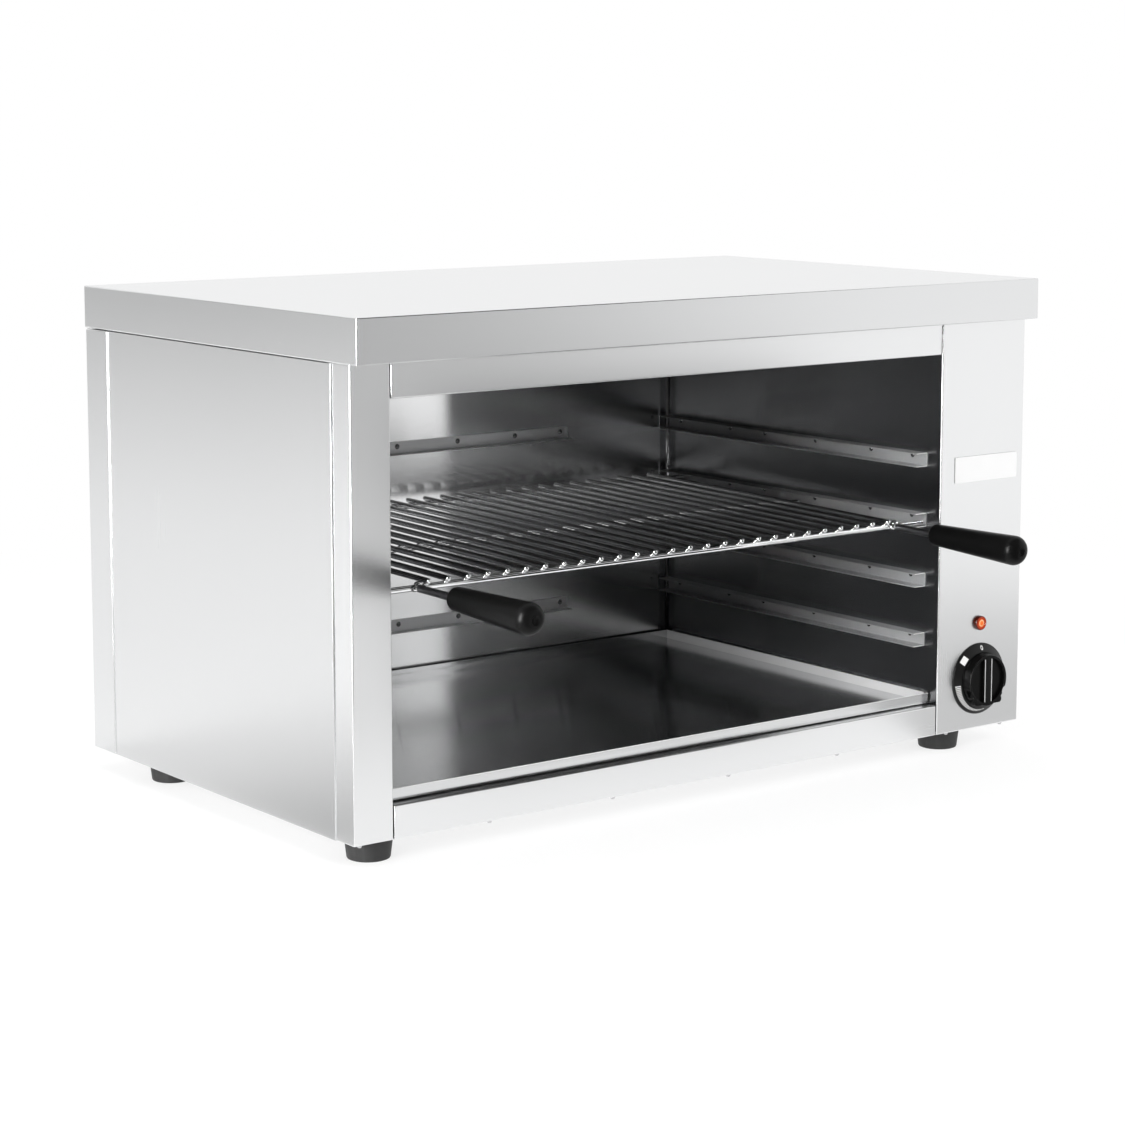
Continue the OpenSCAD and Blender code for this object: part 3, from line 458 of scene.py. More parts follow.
# Painted shade: the label plate's side faces are darker than its face.
LABEL_EDGE_PAINTED_SHADE = Finish("label_edges_painted_shade", (0.3, 0.3, 0.3), 0.5, PLASTIC, stroke=0.03)
TERMINAL = Finish("cream_polyamide", (0.8, 0.76, 0.66), 0.5, PLASTIC, stroke=0.1, bump=0.04)
LOOM = Finish("glass_braid", (0.42, 0.09, 0.06), 0.8, CLOTH, stroke=0.4, bump=0.5)
BRASS = Finish("plain_brass", (0.78, 0.6, 0.28), 0.3, stroke=0.1)
GLAND = Finish("gland_polyamide", (0.03, 0.03, 0.03), 0.5, PLASTIC, stroke=0.15, bump=0.04)
RUBBER = Finish("foot_rubber", (0.022, 0.022, 0.022), 0.6, PLASTIC, stroke=0.25, bump=0.08)


# ---------------------------------------------------------------- meshes


def copied(node: str, flat: float = 0.5) -> Mesh:
    """Copies a CAD node's mesh, merged and freed of the edges inside its flat faces.

    Args:
        node: the CAD node's name.
        flat: the angle in degrees below which neighbouring faces become one.

    Returns:
        A new bmesh.
    """
    bm = bmesh.new()
    bm.from_mesh(bpy.data.objects[node].data)
    bmesh.ops.remove_doubles(bm, verts=bm.verts, dist=MERGED)
    bmesh.ops.dissolve_limit(bm, angle_limit=math.radians(flat), verts=bm.verts, edges=bm.edges)
    for face in bm.faces:
        face.smooth = False
    bm.normal_update()
    return bm


def rounded(bm: Mesh, edges: list, radius: float, segments: int = 3) -> None:
    """Rounds edges and shades the new faces smoothly.

    Args:
        bm: the mesh.
        edges: the edges to round.
        radius: the bend's radius in metres.
        segments: the number of steps across the bend.
    """
    width = {"offset": radius, "offset_type": "OFFSET", "clamp_overlap": True}
    shape = {"affect": "EDGES", "segments": segments, "profile": 0.5, "material": -1}
    for face in bmesh.ops.bevel(bm, geom=edges, **width, **shape)["faces"]:
        face.smooth = True
    bm.normal_update()


def outer_edges(bm: Mesh) -> list:
    """Finds the edges that lie along the edges of the mesh's own box.

    Args:
        bm: the mesh.

    Returns:
        The edges with both ends on the same two sides of the box.
    """
    box = [[pick(v.co[i] for v in bm.verts) for i in range(3)] for pick in (min, max)]
    sides = [(i, end) for i in range(3) for end in (0, 1)]

    def met(vert: bmesh.types.BMVert) -> set:
        """The sides of the box on which a vertex lies."""
        return {(i, end) for i, end in sides if abs(vert.co[i] - box[end][i]) < 0.01 * MM}

    return [e for e in bm.edges if len(met(e.verts[0]) & met(e.verts[1])) >= 2]


def sharp_edges(bm: Mesh, degrees: float) -> list:
    """Finds the outward edges at which the surface turns by more than an angle."""
    walls = [e for e in bm.edges if len(e.link_faces) == 2 and e.is_convex]
    return [e for e in walls if e.calc_face_angle(0.0) > math.radians(degrees)]


def mark_second(bm: Mesh, chosen: Callable[[Face], bool]) -> None:
    """Gives a piece's second finish to the chosen faces, and its first one to the others."""
    for face in bm.faces:
        face.material_index = int(chosen(face))


def turned(profile: Profile, steps: int) -> Mesh:
    """Turns a profile round the Z axis.

    Args:
        profile: pairs of radius and height, in metres, from the axis to the axis or closed.
        steps: the number of steps round the axis.

    Returns:
        A new bmesh, closed and with its faces outwards.
    """
    bm = bmesh.new()
    verts = [bm.verts.new((r, 0.0, z)) for r, z in profile]
    edges = [bm.edges.new(pair) for pair in zip(verts, verts[1:])]
    spin = {"axis": (0.0, 0.0, 1.0), "cent": ORIGIN, "angle": 2.0 * math.pi, "steps": steps}
    bmesh.ops.spin(bm, geom=verts + edges, use_merge=True, **spin)
    bmesh.ops.remove_doubles(bm, verts=bm.verts, dist=MERGED)
    bmesh.ops.recalc_face_normals(bm, faces=bm.faces)
    return bm


def arc(centre: Pair, radius: float, start: float, end: float, steps: int) -> list:
    """Points of an arc in a profile, between two angles in degrees, 0 outwards and 90 upwards."""
    angles = [math.radians(start + (end - start) * i / steps) for i in range(steps + 1)]
    return [(centre[0] + radius * math.cos(a), centre[1] + radius * math.sin(a)) for a in angles]


def add_to(whole: Mesh, part: Mesh, places: list[Matrix]) -> None:
    """Adds a part to a mesh at each place, and frees the part.

    Args:
        whole: the mesh that grows.
        part: the mesh that is repeated.
        places: where each copy goes.
    """
    mesh = bpy.data.meshes.new("part")
    part.to_mesh(mesh)
    part.free()
    for place in places:
        before = len(whole.verts)
        whole.from_mesh(mesh)
        whole.verts.ensure_lookup_table()
        bmesh.ops.transform(whole, matrix=place, verts=whole.verts[before:])
    bpy.data.meshes.remove(mesh)


def place_all(bm: Mesh, place: Matrix) -> Mesh:
    """Moves a whole mesh, and returns it."""
    bmesh.ops.transform(bm, matrix=place, verts=bm.verts)
    return bm


def rod(diameter: float, length: float, edge: float, sides: int) -> Mesh:
    """A round bar along X with its ends' edges broken, from x = 0.

    Args:
        diameter: the bar's diameter.
        length: the bar's length.
        edge: the radius of its ends' edges.
        sides: the number of its sides.

    Returns:
        A new bmesh.
    """
    inner = diameter / 2 - edge
    profile = [(0.0, 0.0), *arc((inner, edge), edge, -90, 0, 3)]
    profile += [*arc((inner, length - edge), edge, 0, 90, 3), (0.0, length)]
    return place_all(turned(profile, sides), Matrix.Rotation(QUARTER, 4, "Y"))


def block(*sizes: float) -> Mesh:
    """A block about the origin with the given sizes along X, Y and Z."""
    bm = bmesh.new()
    bmesh.ops.create_cube(bm, size=1.0)
    return place_all(bm, Matrix.Diagonal((*sizes, 1.0)))


def to_object(bm: Mesh, name: str, looks: list) -> Object:
    """Makes an object of a mesh and links it to the scene.

    Args:
        bm: the mesh, in place, which is freed.
        name: the object's name.
        looks: its materials, in the order of the faces' material indices.

    Returns:
        The new object.
    """
    mesh = bpy.data.meshes.new(name)
    bm.to_mesh(mesh)
    bm.free()
    for look in looks:
        mesh.materials.append(look)
    made = bpy.data.objects.new(name, mesh)
    bpy.context.scene.collection.objects.link(made)
    return made


@dataclass
class Workshop:
    """Turns meshes into pieces of the object, and dresses CAD nodes."""

    groups: EffectGroups
    front: float = field(init=False)
    dressed: set[str] = field(default_factory=set)

    def __post_init__(self) -> None:
        """Reads where the cabinet's front is."""
        self.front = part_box("left_post")[0].y

    def piece(
        self,
        bm: Mesh,
        name: str,
        finish: Finish,
        slot: str,
        nodes: tuple[str, ...] = (),
        body: str = "root",
        smooth: float | None = None,
        second: Finish | None = None,
    ) -> Object:
        """Makes a piece from a mesh.

        Args:
            bm: the mesh, in place, which is freed.
            name: the piece's name.
            finish: its finish.
            slot: the record's material slot, which is not used.
            nodes: the CAD nodes that it stands for.
            body: the CAD body that it moves with.
            smooth: the angle in degrees under which faces shade smoothly, or None to keep them.
            second: the finish of the faces whose material index is 1.

        Returns:
            The new object.
        """
        finishes = [given for given in (finish, second) if given]
        made = to_object(bm, name, [given.material(self.groups) for given in finishes])
        mesh = made.data
        # A copied CAD mesh brings normals of its own, which don't fit its new faces.
        own = mesh.attributes.get("custom_normal")
        if own:
            mesh.attributes.remove(own)
        if smooth is not None:
            mesh.shade_smooth()
            mesh.set_sharp_from_angle(angle=math.radians(smooth))
        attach(made, body)
        if nodes:
            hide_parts(*nodes)
            self.dressed.update(nodes)
        LOG.info("piece %s: %d faces, %s", name, len(mesh.polygons), finish.name)
        return made

    def dress(self, node: str, finish: Finish) -> None:
        """Gives a CAD node that keeps its own shape a finish.

        Args:
            node: the CAD node.
            finish: the finish of its whole surface.
        """
        materials = bpy.data.objects[node].data.materials
        materials.clear()
        materials.append(finish.material(self.groups))
        self.dressed.add(node)
        LOG.info("node %s: %s", node, finish.name)

    def bent(
        self,
        node: str,
        finish: Finish,
        slot: str,
        radius: float,
        second: Finish | None = None,
        chosen: Callable[[Face], bool] = lambda face: False,
    ) -> None:
        """Makes a folded sheet from its CAD node, with a radius on each outer bend.

        Args:
            node: the CAD node.
            finish: the sheet's finish.
            slot: the record's material slot.
            radius: the bends' radius.
            second: the finish of its chosen faces.
            chosen: tells whether a face has the second finish.
        """
        bm = copied(node)
        rounded(bm, outer_edges(bm), radius)
        mark_second(bm, chosen)
        self.piece(bm, node + "_sheet", finish, slot, (node,), second=second)

    def eased(
        self, node: str, finish: Finish, slot: str, radius: float, body: str = "root"
    ) -> None:
        """Makes a part from its CAD node, with every sharp outward edge eased.

        Args:
            node: the CAD node.
            finish: the part's finish.
            slot: the record's material slot.
            radius: the edges' radius.
            body: the body that it moves with.
        """
        bm = copied(node, 0.2)
        rounded(bm, sharp_edges(bm, 40.0), radius, 2)
        self.piece(bm, node + "_part", finish, slot, (node,), body, 35.0)


# ---------------------------------------------------------------- the cabinet


@dataclass
class Cabinet:
    """The folded outer sheets, the lid and the base."""

    shop: Workshop
    bend: float = 1.15 * MM
    fold_reach: float = 0.1 * MM
    fold_facing: float = 0.95
    screw_edge: float = 0.4 * MM

    def build(self) -> None:
        """Makes the sheets with their bends, and dresses the base."""
        self.shop.bent("top_lid", OUTER_ACROSS, "outer_steel", self.bend)
        for node, side in (("left_post", 1), ("control_column", -1)):
            self.post(node, side)
        # The fascia and the rail take the paler front steel, which is painted light.
        for node, finish in (
            ("top_fascia", FRONT_ACROSS_PAINTED_LIGHT),
            ("bottom_rail", FRONT_ACROSS_PAINTED_LIGHT),
            ("rear_cover", OUTER_ACROSS),
            ("left_side_panel", OUTER_UPRIGHT),
            ("right_side_panel", OUTER_UPRIGHT),
        ):
            self.shop.bent(node, finish, "outer_steel", self.bend)
        self.shop.dress("base_plate", OUTER_ACROSS)
        self.shop.eased("base_screws", RIVET, "rivet_steel", self.screw_edge)

    def post(self, node: str, side: int) -> None:
        """Makes a front post, whose fold beside the opening gets the cavity walls' darker steel,
        which is painted shade.

        Args:
            node: the CAD node.
            side: the side of the post that faces the opening, 1 for its right and -1 for its left.
        """
        low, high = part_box(node)
        edge = high.x if side > 0 else low.x

        def inner(face: Face) -> bool:
            """Tells whether a face is on the fold beside the opening."""
            near = abs(face.calc_center_median().x - edge) < self.fold_reach
            return near and face.normal.x * side > self.fold_facing

        # The post's face takes the paler front steel, which is painted light.
        self.shop.bent(node, FRONT_UPRIGHT_PAINTED_LIGHT, "outer_steel", self.bend, CAVITY_PAINTED_SHADE, inner)


@dataclass
class Cavity:
    """The inner walls, the rack channels, the back brackets and their rivets."""

    shop: Workshop
    sheet: float = 1 * MM
    levels: int = 4
    level_top: float = 301 * MM
    level_pitch: float = 60 * MM
    rivet_drop: float = 4 * MM
    rivet_d: float = 5.6 * MM
    rivet_h: float = 1.1 * MM
    channel_bend: float = 0.6 * MM
    end_facing: float = 0.3
    bend_facing: float = 0.04
    channel_y: Pair = (20 * MM, 421 * MM)
    rivet_edge: float = 20 * MM
    channel_places: tuple[float, ...] = (-1, -0.67, -0.21, 0.23, 0.54, 1)
    bracket_places: tuple[float, ...] = (-1, -0.61, -0.19, 0.24, 0.66, 1)
    bracket_l: float = 371 * MM
    bracket_edge: float = 10 * MM
    # The head's outline in shares of its radius and height, and the shank's in millimetres.
    head: tuple = ((0.0, 1.0), (0.45, 0.93), (0.8, 0.6), (1.0, 0.08), (1.0, 0.0))
    shank: tuple = ((1.6, 0.0), (1.6, -2.0), (2.2, -2.0), (2.0, -2.8), (0.0, -2.9))

    def build(self) -> None:
        """Dresses the walls and makes channels, brackets and rivets."""
        self.shop.dress("cavity_back_wall", CAVITY_BACK)
        # The side walls get the darker cavity steel, which is painted shade.
        for node in ("cavity_left_wall", "cavity_right_wall"):
            self.wall(node)
        # The floor and the heat reflector get the near-black steel, which is painted shade.
        for node in ("cavity_floor", "heat_reflector"):
            self.shop.dress(node, CAVITY_FLAT_PAINTED_SHADE)
        for i in range(1, self.levels + 1):
            for side in ("left", "right"):
                self.channel(f"{side}_channel_{i}")
        for node in ("back_bracket_upper", "back_bracket_lower"):
            self.shop.bent(node, RACK_ACROSS, "rack_steel", self.channel_bend)
        rivets, node = self.rivets(), ("channel_rivets",)
        # The rivets take the darker rivet steel, which is painted shade.
        self.shop.piece(rivets, "domed_rivets", CAVITY_RIVET_PAINTED_SHADE, "rivet_steel", node, "root", 40.0)

    def channel(self, node: str) -> None:
        """Makes a rack channel, whose sheared front end is matte and painted near white as a
        painted highlight.
        """
        look = (SHEARED_PAINTED_HIGHLIGHT, lambda face: -face.normal.y > self.end_facing)
        self.shop.bent(node, RACK, "rack_steel", self.channel_bend, *look)

    def wall(self, node: str) -> None:
        """Makes a side wall, whose rounded bend into the back wall gets a pale glossy colour as a
        painted highlight.

        Args:
            node: the CAD node.
        """
        bm = copied(node)
        mark_second(bm, lambda f: min(abs(f.normal.x), abs(f.normal.y)) > self.bend_facing)
        for face in bm.faces:
            face.smooth = face.material_index == 1
        self.shop.piece(bm, node + "_sheet", CAVITY_PAINTED_SHADE, "cavity_steel", (node,), second=BEND_PAINTED_HIGHLIGHT)

    def rivets(self) -> Mesh:
        """Makes every rivet, with a domed head in the cavity and its shank in the hole.

        Returns:
            One mesh of all rivets.
        """
        profile = [(r * self.rivet_d / 2, h * self.rivet_h) for r, h in self.head]
        profile += [(r * MM, h * MM) for r, h in self.shank]
        whole = bmesh.new()
        add_to(whole, turned(profile, 12), self.wall_spots() + self.bracket_spots())
        return whole

    def wall_spots(self) -> list[Matrix]:
        """Where the rivets of both walls' channels sit.

        Returns:
            One matrix for each rivet, with its head along Z.
        """
        spots = []
        start, end = self.channel_y
        middle, reach = (start + end) / 2, (end - start) / 2 - self.rivet_edge
        left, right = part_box("left_channel_1")[0].x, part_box("right_channel_1")[1].x
        for wall, inwards in ((left, 1), (right, -1)):
            turn = Matrix.Rotation(inwards * QUARTER, 4, "Y")
            for i in range(self.levels):
                z = self.level_top - i * self.level_pitch - self.rivet_drop
                for place in self.channel_places:
                    y = self.shop.front + middle + place * reach
                    spot = Matrix.Translation((wall + inwards * self.sheet, y, z))
                    spots.append(spot @ turn)
        return spots

    def bracket_spots(self) -> list[Matrix]:
        """Where the rivets of the two back brackets sit.

        Returns:
            One matrix for each rivet, with its head along Z.
        """
        spots = []
        for node in ("back_bracket_upper", "back_bracket_lower"):
            low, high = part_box(node)
            centre, half = (low.x + high.x) / 2, self.bracket_l / 2 - self.bracket_edge
            y, z = high.y - self.sheet, high.z - self.rivet_drop - self.sheet
            for place in self.bracket_places:
                spot = Matrix.Translation((centre + place * half, y, z))
                spots.append(spot @ Matrix.Rotation(QUARTER, 4, "X"))
        return spots


@dataclass
class WireGrid:
    """The sliding wire grid with its welds, stems and grips."""

    shop: Workshop
    middle_x: float = -37 * MM
    front_bar_y: float = 23 * MM
    front_bar_z: float = 231.05 * MM
    lean: float = 0.016209
    span: float = 364 * MM
    bar_d: float = 5.5 * MM
    bar_edge: float = 0.9 * MM
    bar_half: float = 321 * MM
    middle_bar_half: float = 306 * MM
    middle_place: float = 0.45
    rod_d: float = 5 * MM
    rod_edge: float = 2.1 * MM
    rod_count: int = 27
    rod_pitch: float = 20.9 * MM
    rod_reach: Pair = (-5 * MM, 372 * MM)
    rod_lift: float = 5.2 * MM
    bead_off: float = 1.7 * MM
    bead: tuple[float, ...] = (1.5 * MM, 2.2 * MM, 1.1 * MM)
    # The beads round a stem in millimetres: three distances from its axis, and the size.
    stem_beads: tuple = ((-4.2, -2.6, 0.2, 3.9), (4.3, -2.4, -0.3, 3.6), (0.4, -1.2, 3.2, 3.4))
    stem_bead: tuple[float, ...] = (1.25, 1.0, 0.8)
    stem_x: float = 281.7 * MM
    stem_edge: float = 0.5 * MM
    grip_start: float = 57 * MM
    grip_l: float = 115 * MM
    near_r: float = 10.5 * MM
    far_r: float = 14 * MM
    near_round: float = 4 * MM
    far_round: float = 10 * MM
    bore_r: float = 3.7 * MM
    bore_l: float = 60 * MM
    # The dimple in the grip's far end in millimetres: radius, and depth below the end.
    dimple: tuple = ((3.4, 1.0), (2.2, 1.9), (0.0, 2.4))

    def frame(self) -> Matrix:
        """The grid's own frame: its front bar on X, its rods along Y."""
        place = (self.middle_x, self.shop.front + self.front_bar_y, self.front_bar_z)
        return Matrix.Translation(place) @ Matrix.Rotation(self.lean, 4, "X")

    def rod_xs(self) -> list[float]:
        """The rods' places along X in the grid's frame."""
        half = (self.rod_count - 1) / 2
        return [(i - half) * self.rod_pitch for i in range(self.rod_count)]

    def build(self) -> None:
        """Makes bars, rods, welds, stems and grips."""
        middle = (self.middle_place * self.span, self.middle_bar_half)
        self.bars("front_bar", "grid_front_bar", ((0.0, self.bar_half),))
        self.bars("cross_bars", "grid_cross_bars", (middle, (self.span, self.bar_half)))
        rods = bmesh.new()
        low, high = self.rod_reach
        along = Matrix.Rotation(QUARTER, 4, "Z")
        spots = [Matrix.Translation((x, low, self.rod_lift)) for x in self.rod_xs()]
        places = [self.frame() @ spot @ along for spot in spots]
        add_to(rods, rod(self.rod_d, high - low, self.rod_edge, 18), places)
        self.shop.piece(rods, "rods", WIRE, "bright_wire", ("grid_rods",), "grid", 40.0)
        self.shop.piece(self.welds(), "grid_welds", WELD, "bright_wire", (), "grid", 180.0)
        for side, name in ((-1, "left"), (1, "right")):
            self.handle(side, name)

    def bars(self, name: str, node: str, bars: tuple) -> None:
        """Makes the bars across the rods that stand for one CAD node.

        Args:
            name: the piece's name.
            node: the CAD node.
            bars: each bar's place along the rods and half its length.
        """
        whole = bmesh.new()
        for y, half in bars:
            start = self.frame() @ Matrix.Translation((-half, y, 0.0))
            add_to(whole, rod(self.bar_d, 2 * half, self.bar_edge, 20), [start])
        self.shop.piece(whole, name, WIRE, "bright_wire", (node,), "grid", 40.0)

    def welds(self) -> Mesh:
        """Makes two flattened beads at each crossing of a rod and a bar, and three at each stem.

        Returns:
            One mesh of all beads.
        """
        ball = bmesh.new()
        bmesh.ops.create_icosphere(ball, subdivisions=2, radius=1.0)
        shape = Matrix.Diagonal((*self.bead, 1.0))
        beads = [
            Matrix.Translation((x + side * self.bead_off, y, self.bar_d / 2)) @ shape
            for x in self.rod_xs()
            for y in (0.0, self.middle_place * self.span, self.span)
            for side in (-1, 1)
        ]
        for side in (-1, 1):
            for dx, dy, dz, size in self.stem_beads:
                spot = Matrix.Translation((side * self.stem_x + dx * MM, dy * MM, dz * MM))
                shape = Matrix.Diagonal((*(share * size * MM for share in self.stem_bead), 1.0))
                beads.append(spot @ Matrix.Rotation(0.5 * dx, 4, "Z") @ shape)
        whole = bmesh.new()
        add_to(whole, ball, [self.frame() @ place for place in beads])
        return whole

    def handle(self, side: int, name: str) -> None:
        """Makes one stem and one grip.

        Args:
            side: -1 for the left, 1 for the right.
            name: left or right.
        """
        self.shop.eased(f"handle_stem_{name}", STEM, "stem_steel", self.stem_edge, "grid")
        foot = self.frame() @ Matrix.Translation((side * self.stem_x, 0.0, 0.0))
        outwards = foot @ Matrix.Rotation(QUARTER, 4, "X")
        place = outwards @ Matrix.Translation((0.0, 0.0, self.grip_start))
        grip, node = place_all(turned(self.grip_profile(), 64), place), f"handle_grip_{name}"
        self.shop.piece(grip, f"grip_{name}", GRIP, "grip_black", (node,), "grid", 50.0)

    def grip_profile(self) -> Profile:
        """The grip's section: bore, near end, swelling body, round far end and moulded dimple.

        Returns:
            Pairs of radius and height.
        """
        near, far, length = self.near_round, self.far_round, self.grip_l
        swell, body = self.far_r - self.near_r, length - far - near
        points = [(0.0, self.bore_l), (self.bore_r, self.bore_l), (self.bore_r, 0.0)]
        points += arc((self.near_r - near, near), near, -90, 0, 6)
        points += [(self.near_r + swell * t / 4, near + body * t / 4) for t in (1, 2, 3)]
        points += arc((self.far_r - far, length - far), far, 0, 88, 9)
        return points + [(r * MM, length - depth * MM) for r, depth in self.dimple]


@dataclass
class DripTray:
    """The sliding drip tray."""

    shop: Workshop
    rim_bend: float = 0.3 * MM
    rim_t: float = 1 * MM
    wall_facing: float = 0.5

    def build(self) -> None:
        """Makes the tray, whose side walls and rims are duller than its polished floor and painted
        near white as painted light.
        """
        bm = copied("drip_tray")
        rounded(bm, outer_edges(bm), self.rim_bend, 2)
        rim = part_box("drip_tray")[1].z - self.rim_t

        def duller_and_painted_light(face: Face) -> bool:
            """Tells whether a face is on a side wall or a rim."""
            return abs(face.normal.x) > self.wall_facing or face.calc_center_median().z > rim

        mark_second(bm, duller_and_painted_light)
        node = ("drip_tray",)
        self.shop.piece(bm, "tray_sheet", TRAY, "tray_steel", node, "tray", second=TRAY_WALL_PAINTED_LIGHT)


@dataclass
class Heating:
    """The heaters under the ceiling, their nuts and hangers, and the mat over them."""

    shop: Workshop
    tube_edge: float = 0.3 * MM
    nut_edge: float = 0.4 * MM
    mat_cuts: int = 23
    slack_from: float = 0.42
    slack_drop: float = 0.25
    stitch_turns: float = 150.0
    stitch_drop: float = 0.06

    def build(self) -> None:
        """Makes smooth tubes, nuts, hangers and the soft mat."""
        for place in ("front", "middle", "rear"):
            self.shop.eased(f"heater_{place}_tube", HEATER, "heater_tube", self.tube_edge)
        self.shop.eased("heater_nuts", RIVET, "rivet_steel", self.nut_edge)
        self.shop.dress("heater_hangers", HANGER)
        self.mat()

    def mat(self) -> Object:
        """Makes the needled mat, slack at its edges and dimpled in rows.

        Returns:
            The mat.
        """
        low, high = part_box("insulation_mat")
        size, centre = high - low, (high + low) / 2
        bm = place_all(block(*size), Matrix.Translation(centre))
        bmesh.ops.subdivide_edges(bm, edges=bm.edges, cuts=self.mat_cuts, use_grid_fill=True)
        for vert in bm.verts:
            x, y, z = vert.co
            out = max(abs(x - centre.x) / size.x, abs(y - centre.y) / size.y)
            slack = (max(0.0, out - self.slack_from) / (0.5 - self.slack_from)) ** 2
            wave = 0.5 + 0.5 * math.cos(x * self.stitch_turns) * math.cos(y * self.stitch_turns)
            drop = self.slack_drop * slack + self.stitch_drop * wave
            vert.co.z -= drop * (z - centre.z)
        return self.shop.piece(bm, "soft_mat", MAT, "mat_wool", ("insulation_mat",), "root", 180.0)


@dataclass
class Controls:
    """The dial, the pilot lamp and the bare label plate on the column."""

    shop: Workshop
    centre_x: float = 343 * MM
    dial_z: float = 70.5 * MM
    lamp_z: float = 127 * MM
    bezel_r: float = 36 * MM
    bezel_rim: float = 1.2 * MM
    bezel_h: float = 5 * MM
    bezel_top_r: float = 27.5 * MM
    bezel_hole_r: float = 7 * MM
    bezel_pocket_r: float = 19 * MM
    bezel_skin: float = 1.6 * MM
    rim_round: float = 0.5 * MM
    top_round: float = 0.8 * MM
    print_t: float = 0.12 * MM
    zero_r: Pair = (0.75 * MM, 1.3 * MM)
    zero_at: Pair = (31.4 * MM, 88)
    zero_stretch: tuple[float, ...] = (1.9, 1.2, 1.0, 1.0)
    broad_at: Pair = (31.2 * MM, 138)
    broad_size: Pair = (6.2 * MM, 8.4 * MM)
    hatches: int = 28
    hatch_w: float = 1.0 * MM
    # The outer radius, inner radius and angle of the first hatch, and the change up to the last.
    hatch_first: tuple[float, ...] = (34.3 * MM, 28.4 * MM, 188)
    hatch_change: tuple[float, ...] = (-2.0 * MM, 3.0 * MM, 92)
    knob_edge: float = 0.8 * MM
    knob_top: float = 14.4 * MM
    # Where the two painted highlights lie on the knob's grip bar, and their size.
    highlight_x: float = 4.5 * MM
    highlight_size: Pair = (0.9 * MM, 43 * MM)
    shaft_edge: float = 0.2 * MM
    lens_r: float = 7.25 * MM
    lens_h: float = 4 * MM
    lens_barrel: float = 0.55
    lens_round: float = 1.1 * MM
    lens_slope: float = 0.2 * MM
    # The lens's groove in millimetres: distance in from its side, and depth below its top.
    lens_groove: tuple = ((2.0, 0.25), (2.4, 1.0), (2.9, 1.0), (3.4, 0.5))
    dome_at: Pair = (2.0 * MM, 0.12 * MM)
    label_facing: float = 0.5
    # The amber's colours, by the share of the lens's radius, with a painted glow in the middle, a
    # pale painted highlight ring and painted shade towards the rim.
    amber_painted_light_rings: tuple = (
        (0.0, (0.9, 0.13, 0.01)),
        (0.28, (0.95, 0.2, 0.02)),
        (0.4, (1.0, 0.6, 0.3)),
        (0.52, (0.75, 0.09, 0.006)),
        (0.8, (0.34, 0.024, 0.003)),
        (1.0, (0.05, 0.006, 0.002)),
    )
    amber_grain: float = 700.0
    amber_gloss: Pair = (0.12, 0.1)

    def facing(self, z: float) -> Matrix:
        """A frame on the column's front at a height, with Z towards the user and X to the right."""
        place = Matrix.Translation((self.centre_x, self.shop.front, z))
        return place @ Matrix.Rotation(QUARTER, 4, "X")

    def build(self) -> None:
        """Makes bezel, marks, knob, shaft, lamp and label."""
        dial = self.facing(self.dial_z)
        bezel = place_all(turned(self.bezel_profile(), 96), dial)
        self.shop.piece(bezel, "bezel", DIAL, "dial_black", ("dial_bezel",), "root", 30.0)
        marks = place_all(self.marks(), dial)
        self.shop.piece(marks, "dial_marks", MARKS, "dial_black", (), "root")
        self.knob(dial)
        self.shop.eased("regulator_shaft", RIVET, "rivet_steel", self.shaft_edge, "knob")
        lens = place_all(turned(self.lens_profile(), 48), self.facing(self.lamp_z))
        node = ("pilot_lamp_lens",)
        made = self.shop.piece(lens, "lens", DIAL, "lens_amber", node, "root", 35.0)
        made.data.materials[0] = self.amber()
        self.shop.eased("pilot_lamp_body", LAMP_BODY, "lamp_plastic", self.shaft_edge)
        label, node = copied("label_plate"), ("label_plate",)
        # The plate's side faces get a dark grey, which is painted shade along its edges.
        mark_second(label, lambda face: -face.normal.y < self.label_facing)
        self.shop.piece(label, "label_plate_sheet", LABEL, "label_pale", node, second=LABEL_EDGE_PAINTED_SHADE)

    def knob(self, dial: Matrix) -> None:
        """Makes the knob, with rubbed glossy edges and two painted highlights along its grip bar.

        Args:
            dial: the dial's frame.
        """
        bm, node = copied("dial_knob", 0.2), ("dial_knob",)
        rounded(bm, sharp_edges(bm, 30.0), self.knob_edge, 2)
        mark_second(bm, lambda face: face.smooth)
        self.shop.piece(bm, "knob", KNOB, "knob_black", node, "knob", 35.0, KNOB_EDGE)
        spots = [Matrix.Translation((side * self.highlight_x, 0.0, self.knob_top)) for side in (-1, 1)]
        # Two pale strips that are painted highlights along the grip bar's edges.
        lines = bmesh.new()
        add_to(lines, self.bar(*self.highlight_size), [dial @ spot for spot in spots])
        self.shop.piece(lines, "knob_highlight_strips", KNOB_PAINTED_HIGHLIGHT, "knob_black", (), "knob")

    def bezel_profile(self) -> Profile:
        """The bezel's section: hole, pocket, rim and sloping face.

        Returns:
            Pairs of radius and height, closed on themselves.
        """
        hole, pocket, roof = self.bezel_hole_r, self.bezel_pocket_r, self.bezel_h - self.bezel_skin
        rim, top = self.rim_round, self.top_round
        points = [(hole, roof), (pocket, roof), (pocket, 0.0), (self.bezel_r, 0.0)]
        points += arc((self.bezel_r - rim, self.bezel_rim - rim), rim, 0, 65, 3)
        points += arc((self.bezel_top_r, self.bezel_h - top), top, 65, 90, 3)
        return points + [(hole, self.bezel_h), (hole, roof)]

